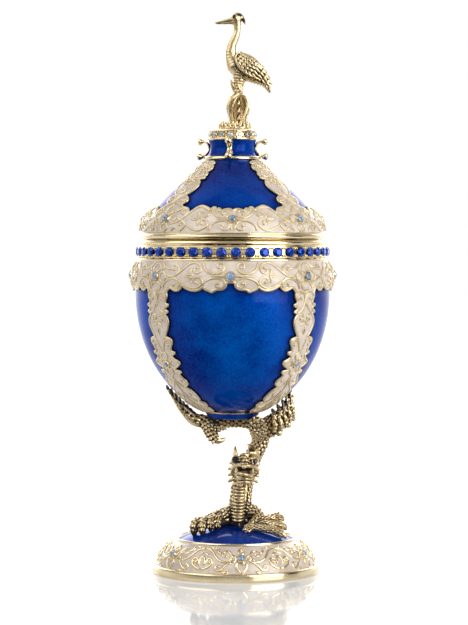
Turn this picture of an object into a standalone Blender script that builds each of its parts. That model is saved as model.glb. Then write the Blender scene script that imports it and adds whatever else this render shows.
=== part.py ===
"""An egg-shaped enamelled box on a dragon stem, with a crane on its lid.

Every size below is in millimetres and is scaled to metres on its way into a mesh.
The origin is on the floor, under the middle of the egg. -Y is the front.
"""

import math

import bmesh
import bpy
from mathutils import Euler, Matrix, Vector

MM = 0.001
GAP = 0.3  # clearance between two pieces that rest on each other

# Driving sizes
SIDES = 32  # flats round a turned piece
WALL = 1.8
FOOT_X = 1.1  # the foot sits this far to the right of the egg's axis
FOOT_RADIUS = 28.4
DOME_RADIUS = 19.6
DOME_EDGE_Z = 11.3
DOME_TOP_Z = 16.0
EGG_RADIUS = 33.1  # the cup is half of an egg this wide
EGG_DEPTH = 41.7
EGG_WAIST_Z = 95.0
CUP_RING_RADIUS = 9.3
CUP_RING_Z = 54.6
CUP_FLOOR_Z = 52.2
CUP_RIM_Z = 112.7
LIP_RADIUS = 29.0
LIP_HEIGHT = 1.6
CHANNEL_RADIUS = 31.0
CHANNEL_TOP_Z = 110.9
CHANNEL_FOOT_Z = 107.1
LID_FOOT_Z = CUP_RIM_Z + GAP
LID_TOP_Z = 149.9
BELT_STONES = 42
BELT_STONE_RADIUS = 1.62
BELT_PHASE = 2.0  # degrees
CUP_STONES = 8
CUP_STONE_RADIUS = 1.3
CUP_STONE_Z = 101.0
CUP_PHASE = -1.0  # degrees
BRACKETS = 4
BRACKET_PHASE = -7.0  # degrees

# Finishes: base colour, metallic, roughness
BLUE_ENAMEL = ("blue_enamel", (0.02, 0.07, 0.42), 0.1, 0.15)
BRIGHT_GOLD = ("bright_gold", (0.9, 0.75, 0.45), 1.0, 0.25)
OLD_GOLD = ("old_gold", (0.62, 0.48, 0.26), 1.0, 0.35)
BLUE_STONE = ("blue_stone", (0.02, 0.08, 0.6), 0.0, 0.05)
PALE_STONE = ("pale_stone", (0.35, 0.5, 0.85), 0.0, 0.05)


def clear_scene():
    for obj in list(bpy.data.objects):
        bpy.data.objects.remove(obj, do_unlink=True)


def material(finish):
    name, colour, metallic, roughness = finish
    found = bpy.data.materials.get(name)
    if found:
        return found
    made = bpy.data.materials.new(name)
    made.use_nodes = True
    shader = made.node_tree.nodes["Principled BSDF"]
    shader.inputs["Base Color"].default_value = (*colour, 1.0)
    shader.inputs["Metallic"].default_value = metallic
    shader.inputs["Roughness"].default_value = roughness
    return made


def add_object(name, mesh, finish, smooth_angle=35.0):
    mesh.materials.append(material(finish))
    mesh.shade_smooth()
    mesh.set_sharp_from_angle(angle=math.radians(smooth_angle))
    obj = bpy.data.objects.new(name, mesh)
    bpy.context.collection.objects.link(obj)
    return obj


def mesh_from(bm, name):
    """Turns millimetres into metres and closes the bmesh into a mesh."""
    bmesh.ops.recalc_face_normals(bm, faces=bm.faces)
    bmesh.ops.scale(bm, vec=(MM, MM, MM), verts=bm.verts)
    mesh = bpy.data.meshes.new(name)
    bm.to_mesh(mesh)
    bm.free()
    return mesh


def as_cutter(obj):
    obj.hide_render = True
    obj.display_type = "WIRE"
    return obj


def boolean(obj, operation, other):
    step = obj.modifiers.new(f"{operation.lower()}_{other.name}", "BOOLEAN")
    step.operation = operation
    step.object = other


# Turned shapes -----------------------------------------------------------------


def turned_mesh(name, profile, centre_x=0.0, closed=False):
    """Turns (radius, z) points round a vertical axis. The ends lie on the axis."""
    bm = bmesh.new()
    rings = []
    for radius, z in profile:
        count = SIDES if radius > 0 else 1
        ring = []
        for i in range(count):
            turn = 2 * math.pi * i / SIDES
            place = (centre_x + radius * math.cos(turn), radius * math.sin(turn), z)
            ring.append(bm.verts.new(place))
        rings.append(ring)
    pairs = list(zip(rings, rings[1:]))
    if closed:
        pairs.append((rings[-1], rings[0]))
    for upper, lower in pairs:
        if len(upper) == 1 and len(lower) == 1:
            continue
        for i in range(SIDES):
            j = (i + 1) % SIDES
            corners = [
                upper[i % len(upper)],
                upper[j % len(upper)],
                lower[j % len(lower)],
                lower[i % len(lower)],
            ]
            bm.faces.new(dict.fromkeys(corners))
    return mesh_from(bm, name)


def egg_radius(z, inset=0.0):
    """Radius of the lower half of the egg at a height, or of its inside."""
    share = (z - EGG_WAIST_Z) / (EGG_DEPTH - inset)
    return (EGG_RADIUS - inset) * math.sqrt(max(0.0, 1.0 - share * share))


def bezier(points, share):
    rest = 1.0 - share
    weights = (rest**3, 3 * rest**2 * share, 3 * rest * share**2, share**3)
    return tuple(
        sum(weight * point[axis] for weight, point in zip(weights, points))
        for axis in range(len(points[0]))
    )


def dome_height(radius):
    return DOME_TOP_Z - (DOME_TOP_Z - DOME_EDGE_Z) * (radius / DOME_RADIUS) ** 2


def make_foot():
    dome_steps = 4
    dome = [
        (DOME_RADIUS * i / dome_steps, dome_height(DOME_RADIUS * i / dome_steps))
        for i in range(dome_steps + 1)
    ]
    line = [(20.2, 12.0), (20.8, 11.4)]
    band_curve = [(20.8, 11.2), (24.4, 9.4), (26.9, 7.0), (27.2, 2.9)]
    band = [bezier(band_curve, share) for share in (0.25, 0.5, 0.75, 1.0)]
    rim = [(28.0, 2.5), (FOOT_RADIUS, 1.7), (FOOT_RADIUS, 0.5), (28.0, 0.0)]
    profile = dome + line + band + rim + [(0.0, 0.0)]
    add_object("foot", turned_mesh("foot", profile, centre_x=FOOT_X), BLUE_ENAMEL)


def cup_outside():
    """Outline of the cup from its locating lip down to the middle of its floor."""
    rim = [
        (LIP_RADIUS, CUP_RIM_Z + LIP_HEIGHT),
        (LIP_RADIUS, CUP_RIM_Z),
        (31.1, CUP_RIM_Z),
        (31.6, 111.7),
        (31.3, CHANNEL_TOP_Z),
    ]
    channel = [(CHANNEL_RADIUS, CHANNEL_TOP_Z - 0.4), (CHANNEL_RADIUS, CHANNEL_FOOT_Z)]
    band = [(32.3, 106.2), (33.0, 104.6), (34.0, 102.8), (34.4, 100.8), (33.9, 97.0)]
    heights = (95.0, 86.5, 78.5, 71.0, 64.0, 58.5)
    bowl = [(egg_radius(z), z) for z in heights]
    ring = [
        (CUP_RING_RADIUS, CUP_RING_Z + 0.7),
        (CUP_RING_RADIUS + 0.7, CUP_RING_Z),
        (CUP_RING_RADIUS - 0.4, CUP_RING_Z - 0.8),
        (CUP_RING_RADIUS - 1.6, CUP_FLOOR_Z),
        (0.0, CUP_FLOOR_Z),
    ]
    return rim + channel + band + bowl + ring


def cup_inside():
    """Outline of the hollow from the middle of the floor up to the lip."""
    heights = (58.5, 66.0, 77.0, 95.0)
    bowl = [(egg_radius(z, inset=WALL), z) for z in heights]
    neck = [(29.9, 105.5), (29.3, 110.8), (LIP_RADIUS - 1.1, 111.8)]
    floor_z = EGG_WAIST_Z - EGG_DEPTH + WALL
    lip_top = (LIP_RADIUS - 1.1, CUP_RIM_Z + LIP_HEIGHT)
    return [(0.0, floor_z)] + bowl + neck + [lip_top]


def make_cup():
    profile = cup_outside() + cup_inside()
    add_object("egg_cup", turned_mesh("egg_cup", profile, closed=True), BLUE_ENAMEL)


LID_CURVE = [(30.9, 115.4), (31.1, 121.7), (17.5, 132.6), (9.4, 139.6)]
LID_HOLLOW = [(29.3, 115.4), (29.3, 120.8), (16.6, 130.8), (7.4, 137.6)]


def make_lid():
    top = [(0.0, LID_TOP_Z), (8.1, LID_TOP_Z), (8.1, 149.4)]
    stone_band = [(7.6, 149.2), (7.6, 147.6), (8.5, 147.3), (8.5, 146.8)]
    collar = [(7.8, 145.4), (7.7, 143.8), (8.2, 142.3), (9.3, 140.9)]
    ring = [(9.8, 140.3), (9.4, LID_CURVE[-1][1])]
    shell = [bezier(LID_CURVE, 1.0 - i / 7) for i in range(1, 8)]
    moulding = [(31.5, 114.8), (31.2, 114.3), (31.5, 113.7), (31.1, LID_FOOT_Z)]
    mouth = [(LIP_RADIUS + 0.4, LID_FOOT_Z)]
    hollow = [bezier(LID_HOLLOW, i / 4) for i in range(5)]
    crown = [(0.0, LID_HOLLOW[-1][1] + 0.6)]
    profile = top + stone_band + collar + ring + shell + moulding + mouth + hollow + crown
    lid = add_object("egg_lid", turned_mesh("egg_lid", profile), BLUE_ENAMEL)
    bracket = bracket_mesh()
    for i in range(BRACKETS):
        piece = add_object(f"bracket_{i + 1}", bracket, BRIGHT_GOLD)
        piece.rotation_euler = (0.0, 0.0, math.radians(BRACKET_PHASE + 360.0 * i / BRACKETS))
        boolean(lid, "UNION", as_cutter(piece))


# Lofted shapes -----------------------------------------------------------------


def smooth_path(stations, steps):
    """Catmull-Rom curve through stations of any width, steps to a span."""
    out = []
    last = len(stations) - 1
    for i in range(last):
        ends = [stations[max(0, i - 1)], stations[i], stations[i + 1], stations[min(last, i + 2)]]
        for k in range(steps):
            t = k / steps
            weights = (
                0.5 * (-t + 2 * t**2 - t**3),
                0.5 * (2 - 5 * t**2 + 3 * t**3),
                0.5 * (t + 4 * t**2 - 3 * t**3),
                0.5 * (-(t**2) + t**3),
            )
            out.append([sum(w * e[n] for w, e in zip(weights, ends)) for n in range(len(ends[0]))])
    return out + [list(stations[last])]


def loft(bm, stations, steps=3, sides=10, depth=1.0, up=(0.0, 1.0, 0.0)):
    """A closed limb through (x, y, z, radius) stations.

    depth squeezes (under 1) or stretches its thickness along the up direction.
    """
    path = smooth_path(stations, steps)
    centres = [Vector(p[:3]) for p in path]
    rings = []
    for i, centre in enumerate(centres):
        ahead = centres[min(i + 1, len(centres) - 1)]
        behind = centres[max(i - 1, 0)]
        along = (ahead - behind).normalized()
        across = along.cross(Vector(up)).normalized()
        through = across.cross(along).normalized()
        radius = max(path[i][3], 0.05)
        ring = []
        for k in range(sides):
            turn = 2 * math.pi * k / sides
            offset = across * math.cos(turn) + through * math.sin(turn) * depth
            ring.append(bm.verts.new(centre + offset * radius))
        rings.append(ring)
    for lower, upper in zip(rings, rings[1:]):
        for k in range(sides):
            j = (k + 1) % sides
            bm.faces.new((lower[k], lower[j], upper[j], upper[k]))
    bm.faces.new(rings[0])
    bm.faces.new(rings[-1])


def ball(bm, place, radius, stretch=(1.0, 1.0, 1.0)):
    spread = Matrix.Diagonal((*stretch, 1.0))
    bmesh.ops.create_uvsphere(
        bm,
        u_segments=12,
        v_segments=8,
        radius=radius,
        matrix=Matrix.Translation(place) @ spread,
    )


def bracket_mesh():
    """A C that hugs the waist of the collar at the front, swollen to a ball at each end."""
    centre_line = [
        (11.5, 146.1, 0.45),
        (10.6, 146.1, 1.1),
        (9.6, 146.0, 0.6),
        (8.1, 144.9, 0.6),
        (7.9, 143.4, 0.6),
        (8.7, 142.1, 0.6),
        (10.2, 141.3, 0.6),
        (11.2, 141.1, 1.1),
        (12.1, 141.1, 0.45),
    ]
    bm = bmesh.new()
    stations = [(0.0, -radius, z, thick) for radius, z, thick in centre_line]
    loft(bm, stations, steps=1, sides=6, up=(1.0, 0.0, 0.0))
    return mesh_from(bm, "bracket")


def melt(obj, voxel, share_kept):
    """Fuses overlapping limbs into one skin, then thins its facets out."""
    fuse = obj.modifiers.new("fuse", "REMESH")
    fuse.mode = "VOXEL"
    fuse.voxel_size = voxel * MM
    thin = obj.modifiers.new("thin", "DECIMATE")
    thin.ratio = share_kept


# Dragon: stations are (x, y, z, radius) -------------------------------------------

TRUNK = [
    (2.3, 0.2, 15.2, 3.9),
    (2.5, 0.6, 20.5, 3.9),
    (2.9, 1.4, 26.0, 3.6),
    (4.3, 3.4, 33.0, 3.3),
    (7.2, 4.2, 39.6, 2.8),
    (9.1, 3.6, 44.0, 2.9),
    (8.9, 2.6, 48.2, 3.3),
    (6.5, 1.5, 50.7, 2.8),
    (4.2, 1.2, 50.9, 2.2),
    (-1.0, 0.8, 50.7, 2.0),
    (-6.0, 0.4, 50.9, 2.2),
    (-10.3, 0.0, 50.6, 2.3),
    (-13.0, 0.0, 51.0, 2.1),
    (-15.7, 0.0, 53.8, 1.6),
    (-17.9, 0.0, 56.3, 1.35),
    (-20.3, 0.2, 59.6, 1.0),
    (-22.4, 0.3, 62.0, 0.4),
]
CHEST = [
    (2.6, -3.2, 31.6, 2.0),
    (2.3, -3.7, 28.0, 2.1),
    (2.0, -3.8, 23.0, 2.2),
    (1.7, -3.2, 17.6, 2.0),
]
HAUNCH = [
    (8.5, 2.4, 47.6, 3.4),
    (12.5, 1.2, 48.8, 3.9),
    (16.2, 0.4, 51.2, 3.4),
    (18.3, 0.2, 54.2, 2.4),
    (19.0, 0.2, 57.6, 1.6),
    (19.8, 0.3, 61.2, 0.6),
]
HIND_TOES = [
    [
        (15.5, -2.0, 49.6, 1.5),
        (18.6, -3.2, 51.6, 1.3),
        (19.6, -3.2, 54.4, 1.0),
        (19.4, -2.8, 57.4, 0.4),
    ],
    [
        (14.5, 2.6, 50.0, 1.5),
        (17.6, 4.0, 52.0, 1.3),
        (18.8, 4.2, 54.8, 1.0),
        (18.8, 3.8, 57.6, 0.4),
    ],
]
HIND_CLAW = [
    (-8.2, -1.6, 49.8, 1.9),
    (-7.0, -2.6, 47.3, 1.9),
    (-6.4, -3.0, 45.6, 1.5),
    (-4.9, -3.2, 44.6, 1.0),
    (-3.3, -3.2, 44.7, 0.7),
    (-2.3, -3.2, 45.4, 0.25),
]
HIND_THUMB = [
    (-6.4, -2.0, 49.2, 1.5),
    (-4.2, -2.6, 48.3, 1.1),
    (-2.8, -2.8, 48.3, 0.8),
    (-2.0, -2.8, 48.7, 0.3),
]
UPPER_JAW = [
    (4.0, -2.6, 37.4, 3.3),
    (3.7, -6.0, 37.1, 2.5),
    (3.5, -8.2, 36.9, 1.7),
    (3.4, -9.2, 36.8, 1.0),
]
LOWER_JAW = [(4.0, -2.4, 33.6, 3.2), (3.8, -5.6, 33.0, 2.5), (3.7, -7.6, 33.1, 1.5)]
FRILLS = [
    [(1.4, -1.5, 36.6, 1.2), (-1.1, -1.2, 36.2, 0.5)],
    [(1.2, -1.5, 34.2, 1.3), (-1.6, -1.0, 33.6, 0.5)],
    [(1.4, -1.6, 31.8, 1.2), (-1.5, -1.0, 30.8, 0.5)],
    [(1.4, -1.6, 30.0, 1.0), (-0.9, -1.0, 28.8, 0.3)],
    [(6.8, -1.0, 36.4, 1.2), (8.8, -0.6, 35.8, 0.4)],
    [(6.6, -1.0, 33.8, 1.2), (8.5, -0.6, 33.0, 0.4)],
    [(6.2, -1.0, 31.6, 1.1), (7.8, -0.6, 30.6, 0.4)],
]
HORNS = [
    [(0.9, -3.8, 39.6, 1.0), (0.7, -3.4, 41.2, 0.65), (0.7, -3.0, 43.0, 0.15)],
    [(6.6, -3.0, 39.8, 1.1), (5.8, -2.2, 41.6, 0.8), (4.9, -1.4, 43.7, 0.15)],
]
LEFT_FORELEG = [
    (-0.2, -0.5, 20.6, 2.3),
    (-4.4, -1.8, 19.2, 1.7),
    (-8.0, -3.6, 18.2, 1.4),
    (-10.8, -5.0, 17.4, 1.4),
]
LEFT_CLAWS = [
    [
        (-10.8, -5.0, 17.4, 1.2),
        (-13.0, -6.2, 17.0, 1.0),
        (-13.9, -6.6, 15.4, 0.6),
        (-13.8, -6.7, 14.0, 0.25),
    ],
    [
        (-9.8, -5.2, 17.6, 1.2),
        (-10.6, -7.6, 16.8, 0.95),
        (-10.7, -8.6, 15.4, 0.6),
        (-10.6, -8.7, 14.2, 0.25),
    ],
    [
        (-7.0, -4.2, 18.2, 1.2),
        (-6.2, -6.4, 17.4, 0.95),
        (-5.8, -7.3, 16.4, 0.6),
        (-5.6, -7.4, 15.2, 0.25),
    ],
]
RIGHT_FORELEG = [
    (4.8, -0.5, 21.4, 2.4),
    (8.0, -0.8, 20.5, 1.9),
    (8.8, -2.6, 19.2, 1.7),
    (7.6, -6.0, 17.4, 1.7),
    (6.2, -8.0, 16.4, 1.6),
]
RIGHT_TOES = [
    [
        (7.0, -6.0, 17.0, 1.3),
        (11.5, -3.6, 17.8, 1.1),
        (14.4, -2.0, 18.4, 1.05),
        (15.7, -1.2, 18.2, 0.7),
    ],
    [
        (6.8, -7.0, 16.5, 1.3),
        (11.5, -7.0, 16.6, 1.1),
        (15.5, -6.6, 15.8, 1.05),
        (17.2, -6.4, 15.2, 0.7),
    ],
    [
        (6.4, -8.0, 16.2, 1.3),
        (11.5, -9.6, 15.6, 1.1),
        (15.8, -10.6, 14.2, 1.05),
        (17.6, -11.0, 13.3, 0.7),
    ],
    [(6.4, -7.6, 16.4, 1.3), (5.0, -8.8, 16.2, 1.0), (4.2, -9.4, 15.4, 0.5)],
]
HEAD_BALLS = [  # skull, throat and the two eyes: place, radius, stretch
    ((4.0, -2.6, 37.6), 3.5, (1.2, 1.0, 0.85)),
    ((3.9, -1.8, 34.4), 3.2, (1.1, 1.0, 1.3)),
    ((1.0, -5.2, 38.6), 1.45, (1.0, 1.0, 1.0)),
    ((7.4, -4.8, 38.4), 1.4, (1.0, 1.0, 1.0)),
]
DRAGON_VOXEL = 0.4
DRAGON_SHARE_KEPT = 0.04


def make_dragon():
    bm = bmesh.new()
    loft(bm, TRUNK, sides=12)
    loft(bm, CHEST, up=(1.0, 0.0, 0.0))
    for limb in (HAUNCH, HIND_CLAW, HIND_THUMB, LEFT_FORELEG, RIGHT_FORELEG):
        loft(bm, limb)
    for limb in HIND_TOES + LEFT_CLAWS + RIGHT_TOES + HORNS + FRILLS:
        loft(bm, limb, sides=8)
    loft(bm, UPPER_JAW, depth=0.75, up=(0.0, 0.0, 1.0))
    loft(bm, LOWER_JAW, depth=0.45, up=(0.0, 0.0, 1.0))
    for place, radius, stretch in HEAD_BALLS:
        ball(bm, place, radius, stretch)
    dragon = add_object("dragon_stem", mesh_from(bm, "dragon_stem"), OLD_GOLD)
    melt(dragon, DRAGON_VOXEL, DRAGON_SHARE_KEPT)
    boolean(dragon, "DIFFERENCE", foot_clearance())
    boolean(dragon, "DIFFERENCE", egg_clearance())


def foot_clearance():
    """The upper half of the foot, grown by the gap."""
    steps = 5
    reach = FOOT_RADIUS
    dome = [(reach * i / steps, dome_height(reach * i / steps) + GAP) for i in range(steps + 1)]
    profile = dome + [(reach, 1.0), (0.0, 1.0)]
    mesh = turned_mesh("foot_clearance", profile, centre_x=FOOT_X)
    return as_cutter(add_object("foot_clearance", mesh, BLUE_ENAMEL))


def egg_clearance():
    """The bowl of the cup and its bottom ring, grown by the gap."""
    heights = (86.5, 78.5, 71.0, 64.0, 58.5)
    bowl = [(egg_radius(z, inset=-GAP), z) for z in heights]
    grown = CUP_RING_RADIUS + GAP
    ring = [
        (grown, CUP_RING_Z + 0.9),
        (grown + 0.7, CUP_RING_Z),
        (grown - 0.4, CUP_RING_Z - 1.0),
        (grown - 1.6, CUP_FLOOR_Z - GAP),
        (0.0, CUP_FLOOR_Z - GAP),
    ]
    mesh = turned_mesh("egg_clearance", [(0.0, heights[0])] + bowl + ring)
    return as_cutter(add_object("egg_clearance", mesh, BLUE_ENAMEL))


# Crane -----------------------------------------------------------------------------

CRANE_FOOT_Z = LID_TOP_Z + 0.45
NECK = [
    (1.3, 0.0, 186.5, 1.5),
    (1.4, 0.0, 184.4, 1.3),
    (1.35, 0.0, 182.6, 1.2),
    (0.6, 0.0, 180.7, 1.35),
    (-0.4, 0.0, 178.7, 1.45),
    (-0.6, 0.0, 176.7, 1.9),
    (0.1, 0.0, 174.0, 3.0),
    (2.4, 0.0, 171.3, 3.9),
    (5.6, 0.0, 169.7, 3.6),
    (8.6, 0.0, 168.0, 2.8),
    (11.0, 0.0, 165.8, 1.6),
    (12.5, 0.0, 162.1, 0.4),
]
BEAK = [(-0.2, 0.0, 186.5, 1.0), (-2.2, 0.0, 186.0, 0.7), (-4.2, 0.0, 185.6, 0.5), (-6.0, 0.0, 185.3, 0.25)]
CREST = [(1.8, 0.0, 188.3, 0.9), (3.2, 0.0, 186.9, 0.6), (4.2, 0.0, 185.4, 0.25)]
WING = [
    (2.2, 2.4, 174.0, 1.7),
    (4.4, 3.0, 172.5, 3.0),
    (7.2, 2.8, 170.2, 2.6),
    (10.0, 1.9, 167.6, 1.6),
    (12.2, 1.0, 165.2, 0.6),
]
THIGH = [(2.2, 0.0, 168.6, 2.4), (2.0, 0.0, 166.2, 1.7), (1.6, 0.0, 163.9, 1.6), (1.5, 0.0, 162.3, 1.8)]
BUD = [(0.6, 0.0, 162.9, 0.9), (-0.5, 0.0, 164.7, 0.65), (-1.2, 0.0, 166.4, 0.25)]
STEM = [(1.6, 0.0, 162.7, 1.0), (1.2, 0.0, 157.8, 0.9), (1.5, 0.0, 151.6, 1.0)]
LEAF = [(0.5, 161.9, 1.0), (2.2, 160.4, 1.05), (2.7, 157.4, 1.05), (2.2, 154.1, 0.95), (1.4, 151.6, 0.9)]
HEAD_PLACE = (1.2, 0.0, 187.2)
HEAD_RADIUS = 1.8
LEAVES = 4
TUFT_CENTRE_X = 0.8
CRANE_VOXEL = 0.28
CRANE_SHARE_KEPT = 0.036
LEAF_CENTRE_X = 1.7
TUFT = [(5.6, CRANE_FOOT_Z), (5.4, 151.6), (4.0, 152.7)]


def make_crane():
    bm = bmesh.new()
    loft(bm, NECK, sides=12, depth=0.85)
    for limb in (BEAK, CREST, THIGH, BUD, STEM):
        loft(bm, limb, sides=8)
    for side in (-1.0, 1.0):
        loft(bm, [(x, side * y, z, radius) for x, y, z, radius in WING], depth=0.4)
    for i in range(LEAVES):
        turn = 2 * math.pi * i / LEAVES
        leaf = [
            (LEAF_CENTRE_X + reach * math.cos(turn), reach * math.sin(turn), z, radius)
            for reach, z, radius in LEAF
        ]
        loft(bm, leaf, sides=8, up=(math.sin(turn), -math.cos(turn), 0.0))
    ball(bm, HEAD_PLACE, HEAD_RADIUS, stretch=(1.05, 0.85, 1.0))
    tuft = [(TUFT_CENTRE_X, 0.0, z, radius) for radius, z in TUFT]
    loft(bm, tuft, steps=2, sides=16)
    crane = add_object("crane_finial", mesh_from(bm, "crane_finial"), OLD_GOLD)
    melt(crane, CRANE_VOXEL, CRANE_SHARE_KEPT)


# Stones ------------------------------------------------------------------------------


TABLE_SHARE = 0.55  # of the girdle's radius
CROWN_SHARE = 0.45
BACK_SHARE = 0.5
BAND_RADIUS = 34.35  # of the cup's swelling where its stones sit


def stone_mesh(name, radius):
    """A round stone with a flat table, a sloping crown and a pointed back, facing +Z."""
    crown = CROWN_SHARE * radius
    back = BACK_SHARE * radius
    bm = bmesh.new()
    flats = 8
    rings = []
    for reach, z in ((TABLE_SHARE * radius, crown), (radius, 0.0)):
        turns = [2 * math.pi * (k + 0.5) / flats for k in range(flats)]
        rings.append([bm.verts.new((reach * math.cos(t), reach * math.sin(t), z)) for t in turns])
    tip = bm.verts.new((0.0, 0.0, -back))
    table, girdle = rings
    bm.faces.new(table)
    for k in range(flats):
        j = (k + 1) % flats
        bm.faces.new((table[k], girdle[k], girdle[j], table[j]))
        bm.faces.new((girdle[k], tip, girdle[j]))
    return mesh_from(bm, name)


def ring_of_stones(name, count, phase, reach, z, radius, finish):
    """Stones that face outwards round the egg's axis; at 0 degrees one faces the front."""
    mesh = stone_mesh(name, radius)
    for i in range(count):
        turn = math.radians(phase + 360.0 * i / count)
        stone = add_object(f"{name}_{i + 1:02d}", mesh, finish, smooth_angle=5.0)
        stone.location = (reach * MM * math.sin(turn), -reach * MM * math.cos(turn), z * MM)
        stone.rotation_euler = Euler((math.radians(90.0), 0.0, turn), "XYZ")


def make_stones():
    belt_z = (CHANNEL_TOP_Z + CHANNEL_FOOT_Z) / 2
    reach = CHANNEL_RADIUS + GAP + BACK_SHARE * BELT_STONE_RADIUS
    ring_of_stones("belt_stone", BELT_STONES, BELT_PHASE, reach, belt_z, BELT_STONE_RADIUS, BLUE_STONE)
    reach = BAND_RADIUS + GAP + BACK_SHARE * CUP_STONE_RADIUS
    ring_of_stones("cup_stone", CUP_STONES, CUP_PHASE, reach, CUP_STONE_Z, CUP_STONE_RADIUS, PALE_STONE)


clear_scene()
make_foot()
make_dragon()
make_cup()
make_lid()
make_crane()
make_stones()
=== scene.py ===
# %% [markdown]
# # An egg-shaped enamelled box on a dragon stem
#
# The real object is a small table box in the old court style: two halves of an egg, cast in
# pewter, plated with gold, filled with blue and cream enamel and set with round stones.
# A cast dragon carries the egg, a crane stands on the lid, and a domed foot carries it all.
#
# The plan is to work as the maker does. First the plain turned bodies, then the enamel that is
# laid on them, then the raised gold lines, then the stones, and last the two cast figures.
# Every size below is in millimetres and becomes metres when a piece is made. The camera, the
# lamps and the floor are given in metres.

import math

import bmesh
import bpy
import numpy as np
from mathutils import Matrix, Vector
from mathutils.geometry import delaunay_2d_cdt
from mathutils.kdtree import KDTree


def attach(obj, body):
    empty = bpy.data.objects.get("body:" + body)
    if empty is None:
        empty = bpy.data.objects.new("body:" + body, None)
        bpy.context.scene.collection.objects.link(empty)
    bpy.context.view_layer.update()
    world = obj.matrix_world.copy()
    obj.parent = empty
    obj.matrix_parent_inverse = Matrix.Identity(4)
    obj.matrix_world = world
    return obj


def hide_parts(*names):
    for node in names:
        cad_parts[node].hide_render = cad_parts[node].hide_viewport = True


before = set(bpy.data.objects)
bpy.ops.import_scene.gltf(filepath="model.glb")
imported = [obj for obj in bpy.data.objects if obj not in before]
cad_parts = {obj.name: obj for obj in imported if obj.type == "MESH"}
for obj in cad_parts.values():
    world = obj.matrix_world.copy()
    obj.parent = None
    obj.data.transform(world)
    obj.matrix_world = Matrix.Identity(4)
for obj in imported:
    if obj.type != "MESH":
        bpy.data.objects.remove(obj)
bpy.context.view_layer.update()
MM = 0.001
print("nodes in the measured model:", len(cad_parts))

# %% [markdown]
# ## The camera
#
# A tall, slim object looks calm when it is seen from far away through a long lens, because the
# foot and the lid then keep nearly the same scale. The camera stands 0.81 m in front of the
# egg's axis, a little above the belt of stones, and tips down slightly. The lens is worked out
# from the view's height, so the framing follows from two plain measures.

# %% Camera
CAMERA_DISTANCE = 0.81
CAMERA_HEIGHT = 0.118
CAMERA_SIDE = 0.0005
AIM_HEIGHT = 0.0882
VIEW_HEIGHT = 0.2121  # how much of the object's plane the view takes in
SENSOR = 36.0

view_data = bpy.data.cameras.new("camera")
view_data.sensor_width = SENSOR
view_data.lens = SENSOR * CAMERA_DISTANCE / VIEW_HEIGHT
view_data.clip_start = 0.01
camera = bpy.data.objects.new("camera", view_data)
camera.location = (CAMERA_SIDE, -CAMERA_DISTANCE, CAMERA_HEIGHT)
aim = Vector((CAMERA_SIDE, 0.0, AIM_HEIGHT)) - camera.location
camera.rotation_euler = aim.to_track_quat("-Z", "Y").to_euler()
bpy.context.collection.objects.link(camera)
bpy.context.scene.camera = camera
bpy.context.scene.view_settings.view_transform = "Standard"
print("lens:", round(view_data.lens, 1), "mm")

# %% [markdown]
# ## Writing nodes as sentences
#
# The sky, the floor and every finish are node trees. They could be wired one link at a time, but
# a long list of links hides what a tree does. A few helpers let each tree read like a sum: a
# value handed to a node may be a number, a colour or the output of another node.

# %% Node helpers
def give(tree, socket, value):
    """Gives an input a number or a colour, or links another node's output to it."""
    if isinstance(value, bpy.types.NodeSocket):
        tree.links.new(value, socket)
    else:
        socket.default_value = (*value, 1.0) if isinstance(value, tuple) else value


def fill(tree, sockets, values):
    for socket, value in zip(sockets, values):
        give(tree, socket, value)


def add_node(tree, kind, operation=None, **values):
    """A new node with its named inputs given. The operation comes first, as it changes them."""
    node = tree.nodes.new("ShaderNode" + kind)
    if operation:
        node.operation = operation
    for name, value in values.items():
        give(tree, node.inputs[name.replace("_", " ")], value)
    return node


def maths(tree, operation, *values):
    """One sum of sockets or numbers."""
    node = add_node(tree, "Math", operation)
    fill(tree, node.inputs, values)
    return node.outputs[0]


def stretched(tree, value, low, high, start=0.0, end=1.0):
    """Spreads the part of a value between low and high over start to end."""
    node = add_node(tree, "MapRange", Value=value, From_Min=low, From_Max=high, To_Min=start, To_Max=end)
    return node.outputs[0]


def colour_mix(tree, share, first, second, blend="MIX"):
    mix = add_node(tree, "Mix")
    mix.data_type = "RGBA"
    mix.blend_type = blend
    fill(tree, (mix.inputs["Factor"], mix.inputs[6], mix.inputs[7]), (share, first, second))
    return mix.outputs[2]


def shader_mix(tree, share, first, second):
    mix = add_node(tree, "MixShader")
    fill(tree, mix.inputs, (share, first.outputs[0], second.outputs[0]))
    return mix.outputs[0]


def new_finish(name, **values):
    """A material whose Principled shader has these plain values. Returns it with its parts."""
    finish = bpy.data.materials.new(name)
    finish.use_nodes = True
    shader = finish.node_tree.nodes["Principled BSDF"]
    for label, value in values.items():
        give(finish.node_tree, shader.inputs[label.replace("_", " ")], value)
    return finish, finish.node_tree, shader


# %% [markdown]
# ## The studio
#
# Gold and glossy enamel are mostly a picture of the room around them, so the room matters more
# than any single lamp. It is a white tent: bright at the sides and above, and darker at the front,
# where the camera stands. The sky of the scene paints that tent. A low glare on the wall behind
# the object whitens the floor and the edges of the egg. A node called Light Path lets the eye
# see plain white behind the object while the reflections see the tent.

# %% Tent
TENT_STRENGTH = 0.86
BACKDROP_STRENGTH = 1.0
GLARE_STRENGTH = 0.9
GLARE_RISE = (0.62, 0.42)  # heights of a direction where the glare ends and where it is full
GLARE_DEPTH = (0.55, 0.85)  # the same for how far to the back a direction points
GREYS = {
    "front": (0.74, 0.71, 0.67), "dark": (0.34, 0.34, 0.35), "mid": (0.54, 0.54, 0.56),
    "pale": (0.84, 0.85, 0.88), "white": (1.0, 1.0, 1.0),
}
FRONT_TO_BACK = [
    (0.0, "front"), (0.16, "dark"), (0.33, "dark"), (0.5, "mid"), (0.72, "pale"), (0.95, "white"),
]
DOWN_TO_UP = [(0.0, "pale"), (0.5, "white"), (0.72, "mid"), (1.0, "dark")]

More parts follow.
